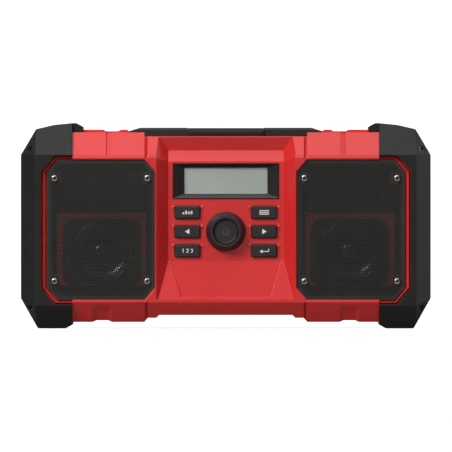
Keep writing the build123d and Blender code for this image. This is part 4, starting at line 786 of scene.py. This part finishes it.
nylon = moulding(
    "Nylon, glass filled, black, moulded",
    "#242223",
    "#2D2B2B",
    "#5F5B5A",
    roughness=0.42,
    grain=1.1,
    depth=0.02,
    edge=0.8,
    wear=0.4,
    **{"Specular IOR Level": 0.3},
)
dress(nylon, "handle_bar")
grip_rubber = moulding(
    "TPE rubber grip, black, moulded",
    "#1C1819",
    "#242020",
    "#484443",
    roughness=0.5,
    grain=0.9,
    depth=0.03,
    edge=0.8,
    wear=0.4,
    **{"Specular IOR Level": 0.2},
)
dress(grip_rubber, "handle_grip")
dress(zinc, "handle_screws")

# ---------------------------------------------------------------- battery dock
# The slide-on battery of a power tool runs up two rails in the bay at the back. The dock is
# black glass filled nylon, and its terminal block, with three blades, is black ABS.

dress(nylon, "battery_dock")
dress(black_abs, "battery_terminals")

# ---------------------------------------------------------------- device compartment
# A pocket for a music player or a telephone has a moulded door on a steel pin, a rubber
# seal, a quarter-turn latch and sockets for a cable.

dress(red_abs, "device_door")
dress(black_abs, "door_latch", "device_sockets")
dress(black_rubber, "door_seal")
dress(zinc, "door_hinge_pin")

# ---------------------------------------------------------------- mains inlet
# A two pole inlet in black ABS, with two pins in its well, snapped into the back wall and
# held there by its flange.

dress(black_abs, "mains_inlet")

# ---------------------------------------------------------------- telescopic aerial
# Three drawn brass tubes, chrome plated, slide in one another and tilt on a steel bracket
# in a channel at the back.

chrome = bare_metal(
    "Brass tube, drawn and chrome plated",
    "#C9CBCD",
    "#DCDEE0",
    roughness=0.12,
    brush=(1.0, 1.0, 0.05),
)
dress(chrome, "aerial_mast", "aerial_middle", "aerial_tip")
dress(zinc, "aerial_pin")
dress(black_steel, "aerial_base")

# ---------------------------------------------------------------- studio
# A pale sweep under and behind the radio, a soft box high on the left, one overhead, a
# strip at the right, and weak panels before and behind it that lift the shadows.

sweep, tree = new_tree("Paper sweep, white")
place = add(tree, "TexCoord").outputs["Object"]
away = add(tree, "VectorMath", {0: place}, operation="LENGTH").outputs["Value"]
lift = add(
    tree,
    "MapRange",
    {"Value": away, "From Min": 0.2, "From Max": 0.32, "To Min": 0.78, "To Max": 1.0},
).outputs[0]
# Glossy and clear surfaces see the white of the part behind the radio only
path = add(tree, "LightPath")
depth = add(tree, "SeparateXYZ", {0: place}).outputs["Y"]
behind = add(tree, "MapRange", {"Value": depth, "From Min": 0.5, "From Max": 1.5}).outputs[0]
inputs = {0: path.outputs["Is Glossy Ray"], 1: path.outputs["Is Transmission Ray"]}
seen = add(tree, "Math", inputs, operation="MAXIMUM").outputs[0]
seen = add(tree, "Math", {0: seen, 1: behind}, operation="MULTIPLY").outputs[0]
inputs = {0: seen, 1: path.outputs["Is Camera Ray"]}
seen = add(tree, "Math", inputs, operation="MAXIMUM").outputs[0]
lift = add(tree, "Math", {0: lift, 1: seen}, operation="MULTIPLY").outputs[0]
inputs = {
    "Base Color": linear("#8E8E8D"),
    "Roughness": 0.8,
    "Specular IOR Level": 0.2,
    "Emission Color": (1, 1, 1, 1),
    "Emission Strength": lift,
}
paper = add(tree, "BsdfPrincipled", inputs)
clear = add(tree, "BsdfTransparent")
behind = add(tree, "NewGeometry").outputs["Backfacing"]
shown = add(tree, "MixShader", {0: behind, 1: paper.outputs[0], 2: clear.outputs[0]})
add(tree, "OutputMaterial", {"Surface": shown.outputs[0]})

# Metres: half its width, its front edge, where it turns up, the bend's radius, its height
SWEEP_HALF, SWEEP_FRONT, SWEEP_BACK, SWEEP_RISE, SWEEP_HEIGHT = 4.0, -12.0, 2.0, 0.8, 3.0
BEND_STEPS = 16
run = [(SWEEP_FRONT, 0.0)]
for step in range(BEND_STEPS + 1):
    a = math.pi / 2 * step / BEND_STEPS
    run.append((SWEEP_BACK + SWEEP_RISE * math.sin(a), SWEEP_RISE * (1 - math.cos(a))))
run.append((SWEEP_BACK + SWEEP_RISE, SWEEP_HEIGHT))
points = [(side * SWEEP_HALF, y, z) for y, z in run for side in (-1, 1)]
faces = [(2 * i, 2 * i + 1, 2 * i + 3, 2 * i + 2) for i in range(len(run) - 1)]
mesh = bpy.data.meshes.new("floor")
mesh.from_pydata(points, [], faces)
mesh.polygons.foreach_set("use_smooth", [True] * len(mesh.polygons))
mesh.materials.append(sweep)
floor = bpy.data.objects.new("floor", mesh)
bpy.context.scene.collection.objects.link(floor)

# The room round the sweep is dim, but white to the camera
ROOM_LIGHT = 0.06
world = bpy.data.worlds.new("studio")
world.use_nodes = True
tree = world.node_tree
seen = add(tree, "LightPath").outputs["Is Camera Ray"]
room = add(tree, "MapRange", {"Value": seen, "To Min": ROOM_LIGHT, "To Max": 1.0})
background = tree.nodes["Background"]
background.inputs["Color"].default_value = (1, 1, 1, 1)
tree.links.new(room.outputs[0], background.inputs["Strength"])
bpy.context.scene.world = world

# A black flag at the left keeps that side of the rubber deep
flag_cloth = moulding(
    "Cotton cloth, black", "#050505", "#0A0A0A", "#101010", roughness=0.95, grain=1.0, edge=0.5
)
mesh = bpy.data.meshes.new("left_flag")
FLAG_X, FLAG_NEAR, FLAG_FAR, FLAG_TALL = -1.5, -1.1, 1.2, 1.6
corners = [(FLAG_X, FLAG_NEAR, 0.0), (FLAG_X, FLAG_FAR, 0.0)]
corners += [(FLAG_X, FLAG_FAR, FLAG_TALL), (FLAG_X, FLAG_NEAR, FLAG_TALL)]
mesh.from_pydata(corners, [], [(0, 1, 2, 3)])
mesh.materials.append(flag_cloth)
flag = bpy.data.objects.new("left_flag", mesh)
bpy.context.scene.collection.objects.link(flag)

# Each lamp by its place, its width and height in metres, and its power in watts
AIM = Vector((0.0, 0.0, 0.1))
for name, spot, size, tall, power in (
    ("front_left_box", (-1.6, -1.9, 1.75), 0.9, 0.9, 75.0),
    ("overhead_box", (0.0, -0.45, 1.7), 1.8, 2.4, 23.0),
    ("right_strip", (1.9, 0.3, 0.6), 0.6, 1.5, 12.0),
    ("fill_panel", (0.6, -3.5, 0.6), 3.0, 2.0, 30.0),
    ("back_panel", (0.8, 2.6, 1.5), 2.0, 1.6, 30.0),
):
    lamp = bpy.data.lights.new(name, "AREA")
    lamp.shape = "RECTANGLE"
    lamp.size, lamp.size_y, lamp.energy = size, tall, power
    box = bpy.data.objects.new(name, lamp)
    box.location = spot
    box.rotation_euler = (AIM - Vector(spot)).to_track_quat("-Z", "Y").to_euler()
    box.visible_camera = False
    # The panels lift shadows and leave no shine
    box.visible_glossy = not name.endswith("_panel")
    bpy.context.scene.collection.objects.link(box)

# A long lens, level with the middle of the radio and square to its front
FRAME_WIDTH, DISTANCE, SENSOR = 0.4475, 20.0, 36.0
CAMERA_X, CAMERA_Z, FRONT_Y = 0.0002, 0.1015, 0.09
lens_data = bpy.data.cameras.new("camera")
lens_data.sensor_width = SENSOR
lens_data.lens = SENSOR * DISTANCE / FRAME_WIDTH
lens_data.clip_end = 100.0
camera = bpy.data.objects.new("camera", lens_data)
camera.location = (CAMERA_X, -DISTANCE - FRONT_Y, CAMERA_Z)
camera.rotation_euler = (math.pi / 2, 0, 0)
bpy.context.scene.collection.objects.link(camera)
bpy.context.scene.camera = camera
bpy.context.scene.view_settings.view_transform = "Standard"
